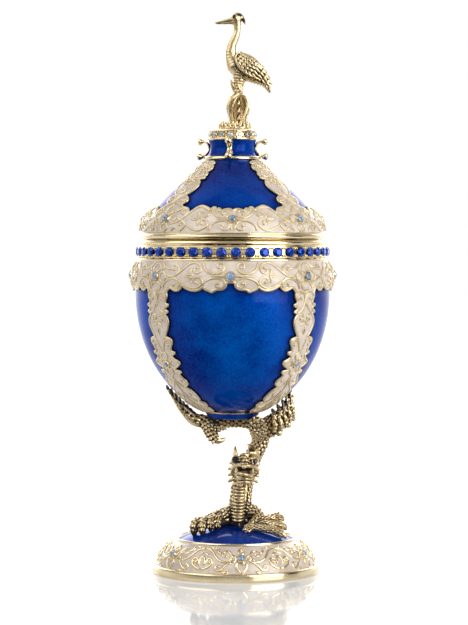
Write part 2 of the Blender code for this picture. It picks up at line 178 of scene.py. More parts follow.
tent = bpy.data.worlds.new("tent")
tent.use_nodes = True
bpy.context.scene.world = tent
sky = tent.node_tree
sky.nodes.clear()


def tent_greys(value, stops):
    """A colour ramp through (position, grey) stops, read at a part of the direction from -1 to 1."""
    ramp = add_node(sky, "ValToRGB")
    give(sky, ramp.inputs[0], stretched(sky, value, -1.0, 1.0))
    band = ramp.color_ramp
    while len(band.elements) < len(stops):
        band.elements.new(0.5)
    for element, (position, grey) in zip(band.elements, stops):
        element.position = position
        element.color = (*GREYS[grey], 1.0)
    return ramp.outputs[0]


direction = add_node(sky, "TexCoord").outputs["Generated"]
_, depth, height = add_node(sky, "SeparateXYZ", Vector=direction).outputs
cloth = colour_mix(sky, 1.0, tent_greys(depth, FRONT_TO_BACK), tent_greys(height, DOWN_TO_UP), "MULTIPLY")
glare = maths(sky, "MULTIPLY", stretched(sky, height, *GLARE_RISE), stretched(sky, depth, *GLARE_DEPTH))
brightness = maths(sky, "MULTIPLY_ADD", glare, GLARE_STRENGTH, TENT_STRENGTH)
room = add_node(sky, "Background", Color=cloth, Strength=brightness)
backdrop = add_node(sky, "Background", Color=(1.0, 1.0, 1.0), Strength=BACKDROP_STRENGTH)
seen_directly = add_node(sky, "LightPath").outputs["Is Camera Ray"]
add_node(sky, "OutputWorld", Surface=shader_mix(sky, seen_directly, room, backdrop))
print("tent ready:", len(sky.nodes), "nodes")

# %% [markdown]
# ## Lamps
#
# The lamps are large soft boxes, so their reflections are soft-edged windows in the enamel and in
# the gold. Polished metal shows little else, so each box is placed by where its window appears:
# one at each side of the egg, one above, one low behind for the rims, and a weak one high behind
# that lights nothing and only lays a sheen on the upward faces.

# %% Lamps
LAMPS = {  # name: (turn, rise in degrees, distance, width, height in metres, watts)
    "right_box": (45.0, 14.0, 0.75, 0.60, 0.74, 5.2),
    "left_box": (-62.0, 36.0, 0.85, 0.90, 0.80, 3.3),
    "top_box": (-10.0, 74.0, 0.80, 1.20, 1.00, 1.2),
    "back_box": (180.0, 24.0, 0.90, 1.30, 0.50, 5.0),
    "sheen_box": (180.0, 71.0, 0.80, 0.90, 0.42, 0.7),
}
ONLY_REFLECTED = ["sheen_box"]
LAMPS_MIDDLE = 0.1  # the height that turns and rises are measured from
LAMPS_AIM = 0.09


def around(turn, rise, distance):
    """A place seen from the egg: turn to the right of the front, rise above level, in degrees."""
    turn, rise = math.radians(turn), math.radians(rise)
    level = distance * math.cos(rise)
    height = distance * math.sin(rise) + LAMPS_MIDDLE
    return Vector((level * math.sin(turn), -level * math.cos(turn), height))


def facing_axis(place, height):
    """The turn that makes a lamp or card at a place look at the egg's axis at a height."""
    return (Vector((0.0, 0.0, height)) - place).to_track_quat("-Z", "Y").to_euler()


for name, (turn, rise, distance, width, height, watts) in LAMPS.items():
    lamp = bpy.data.lights.new(name, "AREA")
    lamp.shape = "RECTANGLE"
    lamp.size, lamp.size_y, lamp.energy = width, height, watts
    holder = bpy.data.objects.new(name, lamp)
    holder.location = around(turn, rise, distance)
    holder.rotation_euler = facing_axis(holder.location, LAMPS_AIM)
    holder.visible_diffuse = name not in ONLY_REFLECTED
    bpy.context.collection.objects.link(holder)
print(len(LAMPS), "lamps")

# %% [markdown]
# ## The floor and a black card
#
# A flag is the studio word for a black card. One at the right puts a thin dark line into the
# gold there, and such lines are what makes a polished edge read as metal. The eye never sees the
# card itself, and it casts no shadow. The floor is a glossy pale sheet that mirrors the foot. It
# glows a little more the further it is from the foot, so it melts into the backdrop without a
# horizon, and its dimmer glow near the foot is a painted shadow round the object. Its front part
# turns black for reflections alone, which gives the underside of the egg and the figures their
# dark side.

# %% Floor and flag
FLOOR_SIZE = 6.0
FLAG_TURN, FLAG_DISTANCE, FLAG_HEIGHT = 84.0, 0.55, 0.16
FLAG_SIZE = (0.17, 0.34)
SHADE_SIDE = (-0.35, -0.85)  # how far to the front the floor's shade begins and is full
SHADE_START = (0.03, 0.06)  # metres from the middle
GLOW_DISTANCE = (0.05, 0.17)
FLOOR_GLOW = (0.28, 0.40)


def flat_card(name, width, height, finish):
    """A flat sheet of the stage, lying level around its middle."""
    shape = bmesh.new()
    bmesh.ops.create_grid(shape, x_segments=8, y_segments=8, size=0.5)
    bmesh.ops.scale(shape, vec=(width, height, 1.0), verts=shape.verts)
    mesh = bpy.data.meshes.new(name)
    shape.to_mesh(mesh)
    shape.free()
    mesh.materials.append(finish)
    card = bpy.data.objects.new(name, mesh)
    bpy.context.collection.objects.link(card)
    return card


white_floor, tree, shader = new_finish(
    "white_floor", Base_Color=(0.42, 0.42, 0.42), Roughness=0.06, IOR=1.35, Emission_Color=(1.0, 1.0, 1.0)
)
place = add_node(tree, "TexCoord").outputs["Object"]
distance = add_node(tree, "VectorMath", "LENGTH", Vector=place).outputs["Value"]
side = add_node(tree, "VectorMath", "NORMALIZE", Vector=place).outputs[0]
backness = add_node(tree, "SeparateXYZ", Vector=side).outputs["Y"]
forward, beyond = stretched(tree, backness, *SHADE_SIDE), stretched(tree, distance, *SHADE_START)
in_front = maths(tree, "MULTIPLY", forward, beyond)
shade = maths(tree, "MULTIPLY", in_front, add_node(tree, "LightPath").outputs["Is Glossy Ray"])
black = add_node(tree, "Emission", Strength=0.0)
# Painted shadow: the floor's glow is dimmer near the foot and rises further out.
give(tree, shader.inputs["Emission Strength"], stretched(tree, distance, *GLOW_DISTANCE, *FLOOR_GLOW))
give(tree, tree.nodes["Material Output"].inputs["Surface"], shader_mix(tree, shade, shader, black))
flat_card("floor", FLOOR_SIZE, FLOOR_SIZE, white_floor)

black_card, _, _ = new_finish("black_card", Base_Color=(0.01, 0.01, 0.01), Roughness=0.9)
flag = flat_card("flag_right", *FLAG_SIZE, black_card)
flag.location = around(FLAG_TURN, 0.0, FLAG_DISTANCE)
flag.location.z = FLAG_HEIGHT
flag.rotation_euler = facing_axis(flag.location, FLAG_HEIGHT)
flag.visible_shadow = flag.visible_diffuse = flag.visible_camera = False
print("floor and flag ready")

# %% [markdown]
# ## Gathering a piece
#
# Each piece is made of many small parts: a border has hundreds of wires and beads. They are
# gathered in one Stock, which holds points and faces as plain arrays, and become a mesh only at
# the end. That is far quicker than asking Blender for one object after another.

# %% Stock and pieces
class Stock:
    """Points and faces of one piece, in millimetres, gathered part by part."""

    def __init__(self):
        self.points = []
        self.faces = []
        self.count = 0

    def add(self, points, faces):
        points = np.asarray(points, float).reshape(-1, 3)
        self.points.append(points)
        faces = faces.tolist() if isinstance(faces, np.ndarray) else faces
        self.faces.extend([corner + self.count for corner in face] for face in faces)
        self.count += len(points)


def grid_faces(rows, columns, close_rows=False, close_columns=False):
    """Quads between the points of a grid that is stored row by row."""
    i = np.arange(rows if close_rows else rows - 1)[:, None]
    j = np.arange(columns if close_columns else columns - 1)[None, :]
    i2, j2 = (i + 1) % rows, (j + 1) % columns
    corners = [i * columns + j, i * columns + j2, i2 * columns + j2, i2 * columns + j]
    return np.stack([np.broadcast_to(c, (i.size, j.size)) for c in corners], axis=-1).reshape(-1, 4)


def tube_faces(rings, sides, closed=False):
    """Faces of a tube of so many rings, with a cap at both ends unless it closes on itself."""
    faces = grid_faces(rings, sides, close_rows=closed, close_columns=True).tolist()
    last = rings * sides
    caps = [] if closed else [list(range(sides)), list(range(last - sides, last))[::-1]]
    return faces + caps


def shape_to_mesh(name, stock, weld=0.0):
    """A mesh in metres from a stock, with faces turned outwards."""
    mesh = bpy.data.meshes.new(name)
    mesh.from_pydata((np.concatenate(stock.points) * MM).tolist(), [], stock.faces)
    shape = bmesh.new()
    shape.from_mesh(mesh)
    if weld:
        bmesh.ops.remove_doubles(shape, verts=shape.verts, dist=weld * MM)
    bmesh.ops.recalc_face_normals(shape, faces=shape.faces)
    shape.to_mesh(mesh)
    shape.free()
    return mesh


def make_piece(name, stock, finish, stands_for=(), smooth_angle=40.0, weld=0.0):
    """The finished piece: its mesh, its finish and the measured nodes that it stands for."""
    mesh = stock if isinstance(stock, bpy.types.Mesh) else shape_to_mesh(name, stock, weld)
    mesh.materials.append(finish)
    if smooth_angle:
        mesh.shade_smooth()
        mesh.set_sharp_from_angle(angle=math.radians(smooth_angle))
    else:
        mesh.shade_flat()
    piece = bpy.data.objects.new(name, mesh)
    bpy.context.collection.objects.link(piece)
    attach(piece, "root")
    if stands_for:
        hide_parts(*stands_for)
    print(f"{name}: {len(mesh.polygons)} faces")
    return piece


# %% [markdown]
# ## Curves
#
# A modeller's eye likes few points. Long curves are given by the points that shape them and
# rounded by a Catmull-Rom curve, which passes through every point, or by a Bezier curve, which
# bends towards its middle points.

# %% Curves
def unit(rows):
    """Vectors made one long."""
    return rows / np.maximum(np.linalg.norm(rows, axis=-1, keepdims=True), 1e-9)


def smooth_path(stations, steps, closed=False):
    """A Catmull-Rom curve through stations of any width, with a number of steps to each span."""
    stations = np.asarray(stations, float)
    if closed:
        ends = np.concatenate([stations[-1:], stations, stations[:2]])
    else:
        ends = np.concatenate([stations[:1], stations, stations[-1:]])
    t = (np.arange(steps) / steps)[:, None]
    weights = (
        0.5 * (-t + 2 * t**2 - t**3),
        0.5 * (2 - 5 * t**2 + 3 * t**3),
        0.5 * (t + 4 * t**2 - 3 * t**3),
        0.5 * (-(t**2) + t**3),
    )
    spans = [
        sum(weight * ends[i + k] for k, weight in enumerate(weights)) for i in range(len(ends) - 3)
    ]
    path = np.concatenate(spans)
    return path if closed else np.concatenate([path, stations[-1:]])


def even_path(stations, spacing, closed=False, axes=2):
    """The same curve with its points an even distance apart, measured along its first axes."""
    path = smooth_path(stations, 12, closed)
    if closed:
        path = np.concatenate([path, path[:1]])
    along = np.concatenate([[0.0], np.cumsum(np.linalg.norm(np.diff(path[:, :axes], axis=0), axis=1))])
    count = max(3, int(round(along[-1] / spacing)) + 1)
    where = np.linspace(0.0, along[-1], count)
    even = np.stack([np.interp(where, along, path[:, k]) for k in range(path.shape[1])], axis=1)
    return even[:-1] if closed else even


def bezier(points, steps):
    """Points along a cubic Bezier curve."""
    t = np.linspace(0.0, 1.0, steps)[:, None]
    p = np.asarray(points, float)
    return (1 - t) ** 3 * p[0] + 3 * (1 - t) ** 2 * t * p[1] + 3 * (1 - t) * t**2 * p[2] + t**3 * p[3]


# %% [markdown]
# ## Turned bodies
#
# The cup, the lid and the foot are round, so each is one outline turned round an axis, as on a
# lathe. The outline holds the real wall: it runs down the outside and back up the inside, which
# leaves the egg hollow. A fine turning of 160 flats hides its facets.

# %% Lathe
FLATS = 160


def ring_turns(count):
    """Turns that share out a full circle evenly."""
    return np.arange(count) * 2 * np.pi / count


def round_axis(turn, radius, height, centre_x=0.0):
    """Places at a turn from the front, a radius and a height. Each may be a number or an array."""
    turn, radius, height = np.broadcast_arrays(turn, radius, height)
    return np.stack([centre_x + radius * np.sin(turn), -radius * np.cos(turn), height], axis=-1)


def turned(stock, outline, centre_x=0.0, closed=False):
    """Turns (radius, height) points round a vertical axis. A closed outline makes a ring."""
    outline = np.asarray(outline, float)
    grid = round_axis(ring_turns(FLATS)[:, None], outline[:, 0], outline[:, 1], centre_x)
    stock.add(grid, grid_faces(FLATS, len(outline), close_rows=True, close_columns=closed))


ROUNDING_STEPS = 3


def rounded(outline, softness=0.25):
    """The same outline with each corner softened, as a casting and its plating leave it."""
    outline = [np.asarray(p, float) for p in outline]
    out = [outline[0]]
    for before, corner, after in zip(outline, outline[1:], outline[2:]):
        reach = min(softness, 0.4 * np.linalg.norm(before - corner), 0.4 * np.linalg.norm(after - corner))
        start, end = corner + reach * unit(before - corner), corner + reach * unit(after - corner)
        for t in np.arange(ROUNDING_STEPS + 1) / ROUNDING_STEPS:
            out.append((1 - t) ** 2 * start + 2 * (1 - t) * t * corner + t**2 * end)
    return out + [outline[-1]]

# %% [markdown]
# ## Finishes
#
# The maker's finishes are few: polished gold plate, satin plate on the fine lines, darkened old
# gold on the figures, a blue enamel with a cloudy depth, a pearly cream enamel and the glass of
# the stones. None of them is one flat colour. What several of them share, a cloudy change of tone
# and a fine cast grain, is made once as a node group and then placed in each finish with its own
# values.

# %% Node groups
def new_group(name, inputs, outputs):
    """An empty shader node group with named sockets. Each input is (name, kind, value)."""
    group = bpy.data.node_groups.new(name, "ShaderNodeTree")
    for label, kind, value in inputs:
        socket = group.interface.new_socket(name=label, in_out="INPUT", socket_type="NodeSocket" + kind)
        socket.default_value = value
    for label, kind in outputs:
        group.interface.new_socket(name=label, in_out="OUTPUT", socket_type="NodeSocket" + kind)
    return group, group.nodes.new("NodeGroupInput").outputs, group.nodes.new("NodeGroupOutput").inputs


def place_group(tree, group, **values):
    """Puts a node group in a material, with its own values."""
    node = tree.nodes.new("ShaderNodeGroup")
    node.node_tree = group
    for name, value in values.items():
        give(tree, node.inputs[name.replace("_", " ")], value)
    return node.outputs


def noise_in(group, scale, detail, roughness):
    """A noise texture in object space."""
    place = add_node(group, "TexCoord").outputs["Object"]
    noise = add_node(group, "TexNoise", Vector=place, Scale=scale, Detail=detail, Roughness=roughness)
    return noise.outputs[0]


GREY = (0.5, 0.5, 0.5, 1.0)
cloud_tone, given, result = new_group(
    "cloud_tone",
    [
        ("Cloud Scale", "Float", 90.0), ("Fleck Scale", "Float", 900.0), ("Fleck Share", "Float", 0.5),
        ("Dark", "Color", GREY), ("Light", "Color", GREY),
    ],
    [("Colour", "Color"), ("Mask", "Float")],
)
clouds = stretched(cloud_tone, noise_in(cloud_tone, given["Cloud Scale"], 2.0, 0.55), 0.34, 0.66)
flecks = stretched(cloud_tone, noise_in(cloud_tone, given["Fleck Scale"], 3.0, 0.65), 0.32, 0.68)
fleck_part = maths(cloud_tone, "MULTIPLY", flecks, given["Fleck Share"])
cloud_part = maths(cloud_tone, "MULTIPLY", clouds, maths(cloud_tone, "SUBTRACT", 1.0, given["Fleck Share"]))
cloud_mask = maths(cloud_tone, "ADD", cloud_part, fleck_part)
give(cloud_tone, result["Mask"], cloud_mask)
give(cloud_tone, result["Colour"], colour_mix(cloud_tone, cloud_mask, given["Dark"], given["Light"]))

cast_grain, given, result = new_group(
    "cast_grain",
    [("Scale", "Float", 1500.0), ("Strength", "Float", 0.1), ("Depth", "Float", 0.00005)],
    [("Normal", "Vector")],
)
grain = noise_in(cast_grain, given["Scale"], 4.0, 0.6)
bump = add_node(cast_grain, "Bump", Strength=given["Strength"], Distance=given["Depth"], Height=grain)
give(cast_grain, result["Normal"], bump.outputs[0])
print("groups:", [group.name for group in bpy.data.node_groups])

# %% [markdown]
# ## Enamel
#
# Blue enamel is clear glass over bright metal. Light goes through it and comes back off the
# metal, which gives the cloudy, flecked depth, and the glass on top stays mirror smooth. So the
# base is half metallic and rather rough, with flecks in its tone, and a clear coat lies on it.
# The coat shows more on slanting sides, as varnish does. Each field is fullest in its middle and
# brightest at one height of the egg: this glow is a painted highlight, a lighter blue laid into
# its colour. A value called shore, measured on the mesh, tells how near the gold borders are, and
# the blue is darker there. The cream enamel is opaque and pearly, and its coat is softer.

# %% Enamel finishes
PAINTED_GLOW_HEIGHT = 0.079  # metres above the table, where the cup's fields are painted brightest
PAINTED_GLOW_REACH = 0.024
PAINTED_GLOW_WIDTH = (0.80, 1.0)  # the cosine to a field's middle where the painted glow starts and is full
SHORE_BLUE = (0.0006, 0.003, 0.05)
BLUE_CLOUDS = (62.0, 1300.0, 0.42)

# Painted highlight: a mask for the lighter blue in the middle of each field, at one height.
field_painted_glow, _, result = new_group("field_painted_glow", [], [("Mask", "Float")])
place = add_node(field_painted_glow, "TexCoord").outputs["Object"]
across, deep, height = add_node(field_painted_glow, "SeparateXYZ", Vector=place).outputs
off_middle, off_side = maths(field_painted_glow, "ABSOLUTE", across), maths(field_painted_glow, "ABSOLUTE", deep)
squares = maths(field_painted_glow, "MULTIPLY_ADD", across, across, maths(field_painted_glow, "MULTIPLY", deep, deep))
reach = maths(field_painted_glow, "SQRT", squares)
cosine = maths(field_painted_glow, "DIVIDE", maths(field_painted_glow, "MAXIMUM", off_middle, off_side), reach)
off_height = maths(field_painted_glow, "ABSOLUTE", maths(field_painted_glow, "SUBTRACT", height, PAINTED_GLOW_HEIGHT))
at_middle = stretched(field_painted_glow, cosine, *PAINTED_GLOW_WIDTH)
at_height = stretched(field_painted_glow, off_height, PAINTED_GLOW_REACH, 0.0)
give(field_painted_glow, result["Mask"], maths(field_painted_glow, "MULTIPLY", at_middle, at_height))


def toned_finish(name, tone, grain=None, **values):
    """A finish whose colour is a cloudy tone and whose surface has a cast grain."""
    finish, tree, shader = new_finish(name, **values)
    colour = place_group(tree, cloud_tone, **tone)["Colour"]
    give(tree, shader.inputs["Base Color"], colour)
    if grain:
        scale, strength, depth = grain
        normal = place_group(tree, cast_grain, Scale=scale, Strength=strength, Depth=depth)["Normal"]
        give(tree, shader.inputs["Normal"], normal)
    return finish, tree, shader, colour


def tone_of(clouds, flecks, share, dark, light):
    return {"Cloud_Scale": clouds, "Fleck_Scale": flecks, "Fleck_Share": share, "Dark": dark, "Light": light}


def kept_value(tree, name):
    """A value that a mesh keeps at each of its points."""
    node = add_node(tree, "Attribute")
    node.attribute_name = name
    return node.outputs["Fac"]


blue_enamel, tree, shader, deep_tone = toned_finish(
    "blue_enamel", tone_of(*BLUE_CLOUDS, (0.0008, 0.004, 0.11), (0.0006, 0.07, 0.42)),
    (1500.0, 0.12, 0.00008), Metallic=0.45, Roughness=0.42, Specular_IOR_Level=0.0,
    Specular_Tint=(0.06, 0.2, 0.7), Coat_Roughness=0.025, Coat_IOR=1.42,
)
# The lighter blue of the painted glow, a painted highlight.
painted_glow_tone = place_group(
    tree, cloud_tone, **tone_of(*BLUE_CLOUDS, (0.0008, 0.014, 0.22), (0.0006, 0.155, 0.68))
)["Colour"]
blue = colour_mix(tree, place_group(tree, field_painted_glow)["Mask"], deep_tone, painted_glow_tone)
blue = colour_mix(tree, stretched(tree, kept_value(tree, "shore"), 0.1, 1.1), blue, SHORE_BLUE)
give(tree, shader.inputs["Base Color"], blue)
slant = add_node(tree, "LayerWeight").outputs["Facing"]
give(tree, shader.inputs["Coat Weight"], stretched(tree, slant, 0.3, 0.95, 0.15, 0.9))

cream_enamel = toned_finish(
    "cream_enamel", tone_of(260.0, 1200.0, 0.35, (0.53, 0.43, 0.33), (0.74, 0.65, 0.57)),
    (900.0, 0.18, 0.0001), Roughness=0.34, Coat_Weight=0.6, Coat_Roughness=0.08, Sheen_Weight=0.1,
)[0]
print("enamels ready")

# %% [markdown]
# ## Gold
#
# Bright gold is plate over a casting, so it is not quite smooth: a very fine grain breaks its
# reflections, and its tone drifts a little. Old gold is the same plate, darkened with black wax
# and rubbed back. The wax stays in the hollows, so the finish needs to know where they are: a
# value is measured on the mesh of each figure and kept there, and painted shade is added to it
# under the egg, round the dragon's feet, by its right horn, inside the crane's cage and under
# its wings. Shallow hollows and light shade are only browned, and the deep ones are black and dull.

# %% Gold finishes
PATINA_AND_SHADE_BROWN = (0.26, 0.155, 0.055)
WAX_AND_SHADE_BLACK = (0.018, 0.013, 0.008)

bright_gold = toned_finish(
    "bright_gold", tone_of(120.0, 1500.0, 0.5, (0.86, 0.67, 0.38), (1.0, 0.87, 0.58)),
    (1100.0, 0.16, 0.00008), Metallic=1.0, Roughness=0.17,
)[0]
satin_gold = toned_finish(
    "satin_gold", tone_of(160.0, 1500.0, 0.5, (0.62, 0.47, 0.25), (0.92, 0.80, 0.54)),
    (1300.0, 0.25, 0.0001), Metallic=0.75, Roughness=0.38, Coat_Weight=0.3, Coat_Roughness=0.15,
)[0]
old_gold, tree, shader, tone = toned_finish(
    "old_gold", tone_of(260.0, 1900.0, 0.6, (0.50, 0.35, 0.15), (0.95, 0.79, 0.50)), (1700.0, 0.35, 0.0001)
)
# The kept value: wax in the hollows, plus painted shade under the egg, round the dragon's feet, by its right
# horn, inside the crane's cage and under its wings.
wax_and_shade = kept_value(tree, "wax_and_shade")
brown_patina_and_shade, black_wax_and_shade = stretched(tree, wax_and_shade, 0.34, 0.50), stretched(tree, wax_and_shade, 0.46, 0.60)
give(tree, shader.inputs["Base Color"], colour_mix(tree, black_wax_and_shade, colour_mix(tree, brown_patina_and_shade, tone, PATINA_AND_SHADE_BROWN), WAX_AND_SHADE_BLACK))
give(tree, shader.inputs["Metallic"], stretched(tree, black_wax_and_shade, 0.0, 1.0, 0.9, 0.25))
give(tree, shader.inputs["Roughness"], stretched(tree, black_wax_and_shade, 0.0, 1.0, 0.28, 0.55))
print("golds ready")

# %% [markdown]
# ## Glass stones
#
# The stones are cut glass with a foil behind them. The foil throws the light back, so each small
# facet is either bright or nearly black. A tinted half-metallic base under a clear coat does the
# same, and the facets of the mesh do the sparkling.

# %% Stone finishes
STONE_TONES = {  # name: (dark, light, metallic)
    "blue_stone": ((0.001, 0.008, 0.15), (0.004, 0.08, 0.56), 0.6),
    "pale_stone": ((0.09, 0.17, 0.34), (0.44, 0.58, 0.80), 0.5),
    "clear_stone": ((0.30, 0.36, 0.44), (0.82, 0.86, 0.92), 0.7),
    "dark_stone": ((0.004, 0.004, 0.006), (0.03, 0.03, 0.035), 0.3),
}
stone_finish = {
    name: toned_finish(
        name, tone_of(420.0, 1600.0, 0.6, dark, light), Metallic=metallic, Roughness=0.08,
        Specular_IOR_Level=0.2, Coat_Weight=0.6, Coat_Roughness=0.01, Coat_IOR=1.5,
    )[0]
    for name, (dark, light, metallic) in STONE_TONES.items()
}
print("stones:", list(stone_finish))

# %% [markdown]
# ## Outlines of the body
#
# These are the lathe outlines, from the top down on the outside. The cup is half of an
# ellipsoid with a swelling band under the belt of stones. The lid is one Bezier curve, steep at
# the belt and drawn in to a narrow collar. The foot is a shallow dome in a falling band.

# %% Outlines
EGG_RADIUS = 33.1
EGG_DEPTH = 41.7
EGG_WAIST_Z = 95.0
WALL = 1.8
CHANNEL_RADIUS = 31.75
BELT_Z = 109.0
LIP_RADIUS = 29.0
CUP_RING_RADIUS = 9.3
FOOT_X = 1.1
DOME_RADIUS = 19.9
DOME_EDGE_Z = 11.3
DOME_TOP_Z = 16.0
RELIEF = 0.6  # how far the cream enamel stands out from the blue
SKIN_DEPTH = 0.6  # how deep an enamel layer goes into the metal


def bowl_line(top, bottom, inset=0.0, steps=40):
    """The egg's lower curve between two heights, stepped evenly round the ellipse."""
    depth = EGG_DEPTH - inset
    start = math.asin((EGG_WAIST_Z - top) / depth)
    end = math.asin(min(1.0, (EGG_WAIST_Z - bottom) / depth))
    turns = [start + (end - start) * i / steps for i in range(steps + 1)]
    return [((EGG_RADIUS - inset) * math.cos(t), EGG_WAIST_Z - depth * math.sin(t)) for t in turns]


def dome_height(radius):
    return DOME_TOP_Z - (DOME_TOP_Z - DOME_EDGE_Z) * (radius / DOME_RADIUS) ** 2


def dome_line(radius_to, lower=0.0, steps=16):
    """The foot's dome from its top out to a radius."""
    return [(r, dome_height(r) - lower) for r in np.linspace(0.0, radius_to, steps + 1)]


def sunk(outline, depth):
    """An outline moved square to itself, towards the axis side."""
    outline = np.asarray(outline, float)
    along = unit(np.gradient(outline, axis=0))
    return outline - depth * np.stack([-along[:, 1], along[:, 0]], axis=1)


LID_CURVE = bezier([(9.4, 139.6), (17.5, 132.6), (31.1, 121.7), (30.9, 115.4)], 48)
LID_HOLLOW = bezier([(29.3, 115.4), (29.3, 120.8), (16.6, 130.8), (7.4, 137.6)], 24)
FOOT_BAND = bezier([(20.8, 11.2), (23.5, 9.8), (26.1, 7.1), (27.2, 2.9)], 24)
CUP_BAND = smooth_path(
    [(32.35, 106.1), (33.0, 104.6), (33.85, 102.8), (34.25, 100.8), (34.2, 98.9), (33.9, 97.0)], 5
)
COLLAR = smooth_path(
    [(8.1, 146.4), (7.75, 145.4), (7.6, 144.2), (7.75, 143.0), (8.2, 142.0), (9.0, 141.2)], 4
)
print("egg is", 2 * EGG_RADIUS, "mm wide")

# %% [markdown]
# ## The metal bodies
#
# Under the enamel everything is one gold casting. Its outline is sunk a little wherever enamel
# is laid on, as a real cell is cut, so that the enamel layers can be separate closed pieces with
# a true thickness. The rims, lines and mouldings stay at full height and frame the colours.

# %% Metal of the cup, lid and foot
CELL = 0.25  # how deep the metal is sunk under enamel


def cup_metal():
    lip = [(LIP_RADIUS - 1.1, 114.3), (LIP_RADIUS, 114.3), (LIP_RADIUS, 112.95), (30.9, 112.95)]
    rim = [(31.35, 112.8), (31.75, 112.4), (31.85, 111.9), (31.7, 111.4), (31.4, 111.15), (31.55, 111.0)]
    channel = [(CHANNEL_RADIUS, 110.85), (CHANNEL_RADIUS, 107.3), (31.6, 107.15)]
    line = [(32.0, 107.0), (32.45, 106.6), (32.5, 106.2), (32.2, 105.8), (31.8, 105.2)]
    bowl = bowl_line(103.0, 56.0, inset=CELL)
    ring = [
        (CUP_RING_RADIUS - 0.1, 55.4), (CUP_RING_RADIUS + 0.45, 55.2), (CUP_RING_RADIUS + 0.7, 54.75),
        (CUP_RING_RADIUS + 0.4, 54.35), (8.7, 54.1), (8.3, 53.4), (7.4, 52.6), (0.0, 52.5),
    ]
    inside = bowl_line(95.0, 95.0 - EGG_DEPTH + WALL, inset=WALL)[::-1]
    neck = [(29.9, 105.5), (29.3, 110.8), (LIP_RADIUS - 1.1, 111.8), (LIP_RADIUS - 1.1, 114.3)]
    stock = Stock()
    turned(stock, rounded(lip + rim + channel + line) + bowl + ring + inside + neck)
    return make_piece("cup_metal", stock, bright_gold, ["egg_cup"], weld=0.001)


def lid_metal():
    top = [(0.0, 149.9), (8.0, 149.9), (8.3, 149.7), (8.3, 149.45), (7.9, 149.3), (7.35, 149.2)]
    stone_ring = [(7.35, 147.5), (8.1, 147.4), (8.55, 147.2), (8.6, 146.85), (8.3, 146.55), (7.8, 146.3)]
    ring = [(8.7, 141.2), (9.3, 141.1), (9.75, 140.75), (9.85, 140.2), (9.5, 139.7), (9.2, 139.4)]
    moulding = [
        (31.15, 115.5), (31.45, 115.3), (31.5, 115.1), (31.3, 114.95), (31.45, 114.8), (31.75, 114.4),
        (31.8, 113.95), (31.6, 113.55), (31.2, 113.35), (29.4, 113.35),
    ]
    crown = [(0.0, 138.2)]
    stock = Stock()
    outside = rounded(top + stone_ring) + sunk(COLLAR, CELL).tolist() + rounded(ring)
    outside += sunk(LID_CURVE, CELL)[1:].tolist() + rounded(moulding, softness=0.15)
    turned(stock, outside + LID_HOLLOW.tolist() + crown)
    return make_piece("lid_metal", stock, bright_gold, ["egg_lid"], weld=0.001)


def foot_metal():
    line = [(20.1, 11.5), (20.35, 12.0), (20.8, 12.0), (21.0, 11.5), (20.9, 10.9)]
    rim = [(27.1, 2.9), (27.75, 3.0), (28.25, 2.7), (28.4, 2.1), (28.4, 0.7), (28.2, 0.15), (27.8, 0.0)]
    base = [(25.6, 0.0), (25.2, 0.2), (25.0, 0.8), (0.0, 0.8)]
    stock = Stock()
    outline = dome_line(DOME_RADIUS, lower=CELL) + rounded(line) + sunk(FOOT_BAND, CELL).tolist()
    turned(stock, outline + rounded(rim) + rounded(base), centre_x=FOOT_X)
    return make_piece("foot_metal", stock, bright_gold, ["foot"], weld=0.001)


cup_metal()
lid_metal()
foot_metal()

# %% [markdown]
# ## Blue enamel
#
# Each field of blue is a thin closed layer that follows its metal. A layer is an outline, run
# forward on the outside and back a little deeper, and turned as a ring.

# %% Blue layers
def enamel_layer(stock, outline, centre_x=0.0):
    """A closed ring or cap of enamel on an outline that runs from the top down."""
    under = sunk(outline, SKIN_DEPTH)
    under[:, 0] = np.maximum(under[:, 0], 0.0)
    turned(stock, np.concatenate([outline, under[::-1]]), centre_x, closed=True)


stock = Stock()
enamel_layer(stock, bowl_line(103.0, 55.35))
enamel_layer(stock, np.array([(9.3, 54.45), (9.05, 53.8), (8.5, 53.0), (7.7, 52.35), (5.0, 52.2)]))
make_piece("cup_blue_enamel", stock, blue_enamel, weld=0.001)
stock = Stock()
enamel_layer(stock, LID_CURVE[:44])
enamel_layer(stock, COLLAR)
make_piece("lid_blue_enamel", stock, blue_enamel, weld=0.001)
stock = Stock()
enamel_layer(stock, np.array(dome_line(20.2, steps=24)), FOOT_X)
make_piece("foot_blue_enamel", stock, blue_enamel, weld=0.001)

# %% [markdown]
# ## Drawing on a turned surface
#
# The borders are drawn flat, as on paper that is then wrapped round the egg. A Skin is the
# turned surface they are wrapped on. A place on it has three numbers: the turn round the axis,
# the length down the curve, and the height above the skin. Because the drawing is flat, one
# heart or scroll is written once and used many times, mirrored where the real border is.

# %% Skin
class Skin:
    """A turned surface, given by an outline from its top down, that ornament is laid on."""

    def __init__(self, outline, centre_x=0.0):
        outline = np.asarray(outline, float)
        self.outline = outline
        self.centre_x = centre_x
        self.down = np.concatenate([[0.0], np.cumsum(np.linalg.norm(np.diff(outline, axis=0), axis=1))])
        along = unit(np.gradient(outline, self.down, axis=0))
        self.out = np.stack([-along[:, 1], along[:, 0]], axis=1)
        self.length = self.down[-1]

    def read(self, values, down):
        return np.interp(down, self.down, values)

    def radius(self, down):
        return self.read(self.outline[:, 0], down)

    def normal(self, turn, down):
        return round_axis(turn, self.read(self.out[:, 0], down), self.read(self.out[:, 1], down))

    def place(self, turn, down, height=0.0):
        z = self.read(self.outline[:, 1], down)
        spot = round_axis(turn, self.radius(down), z, self.centre_x)
        return spot + np.asarray(height)[..., None] * self.normal(turn, down)


def raised(outline, height):
    return sunk(outline, -height)


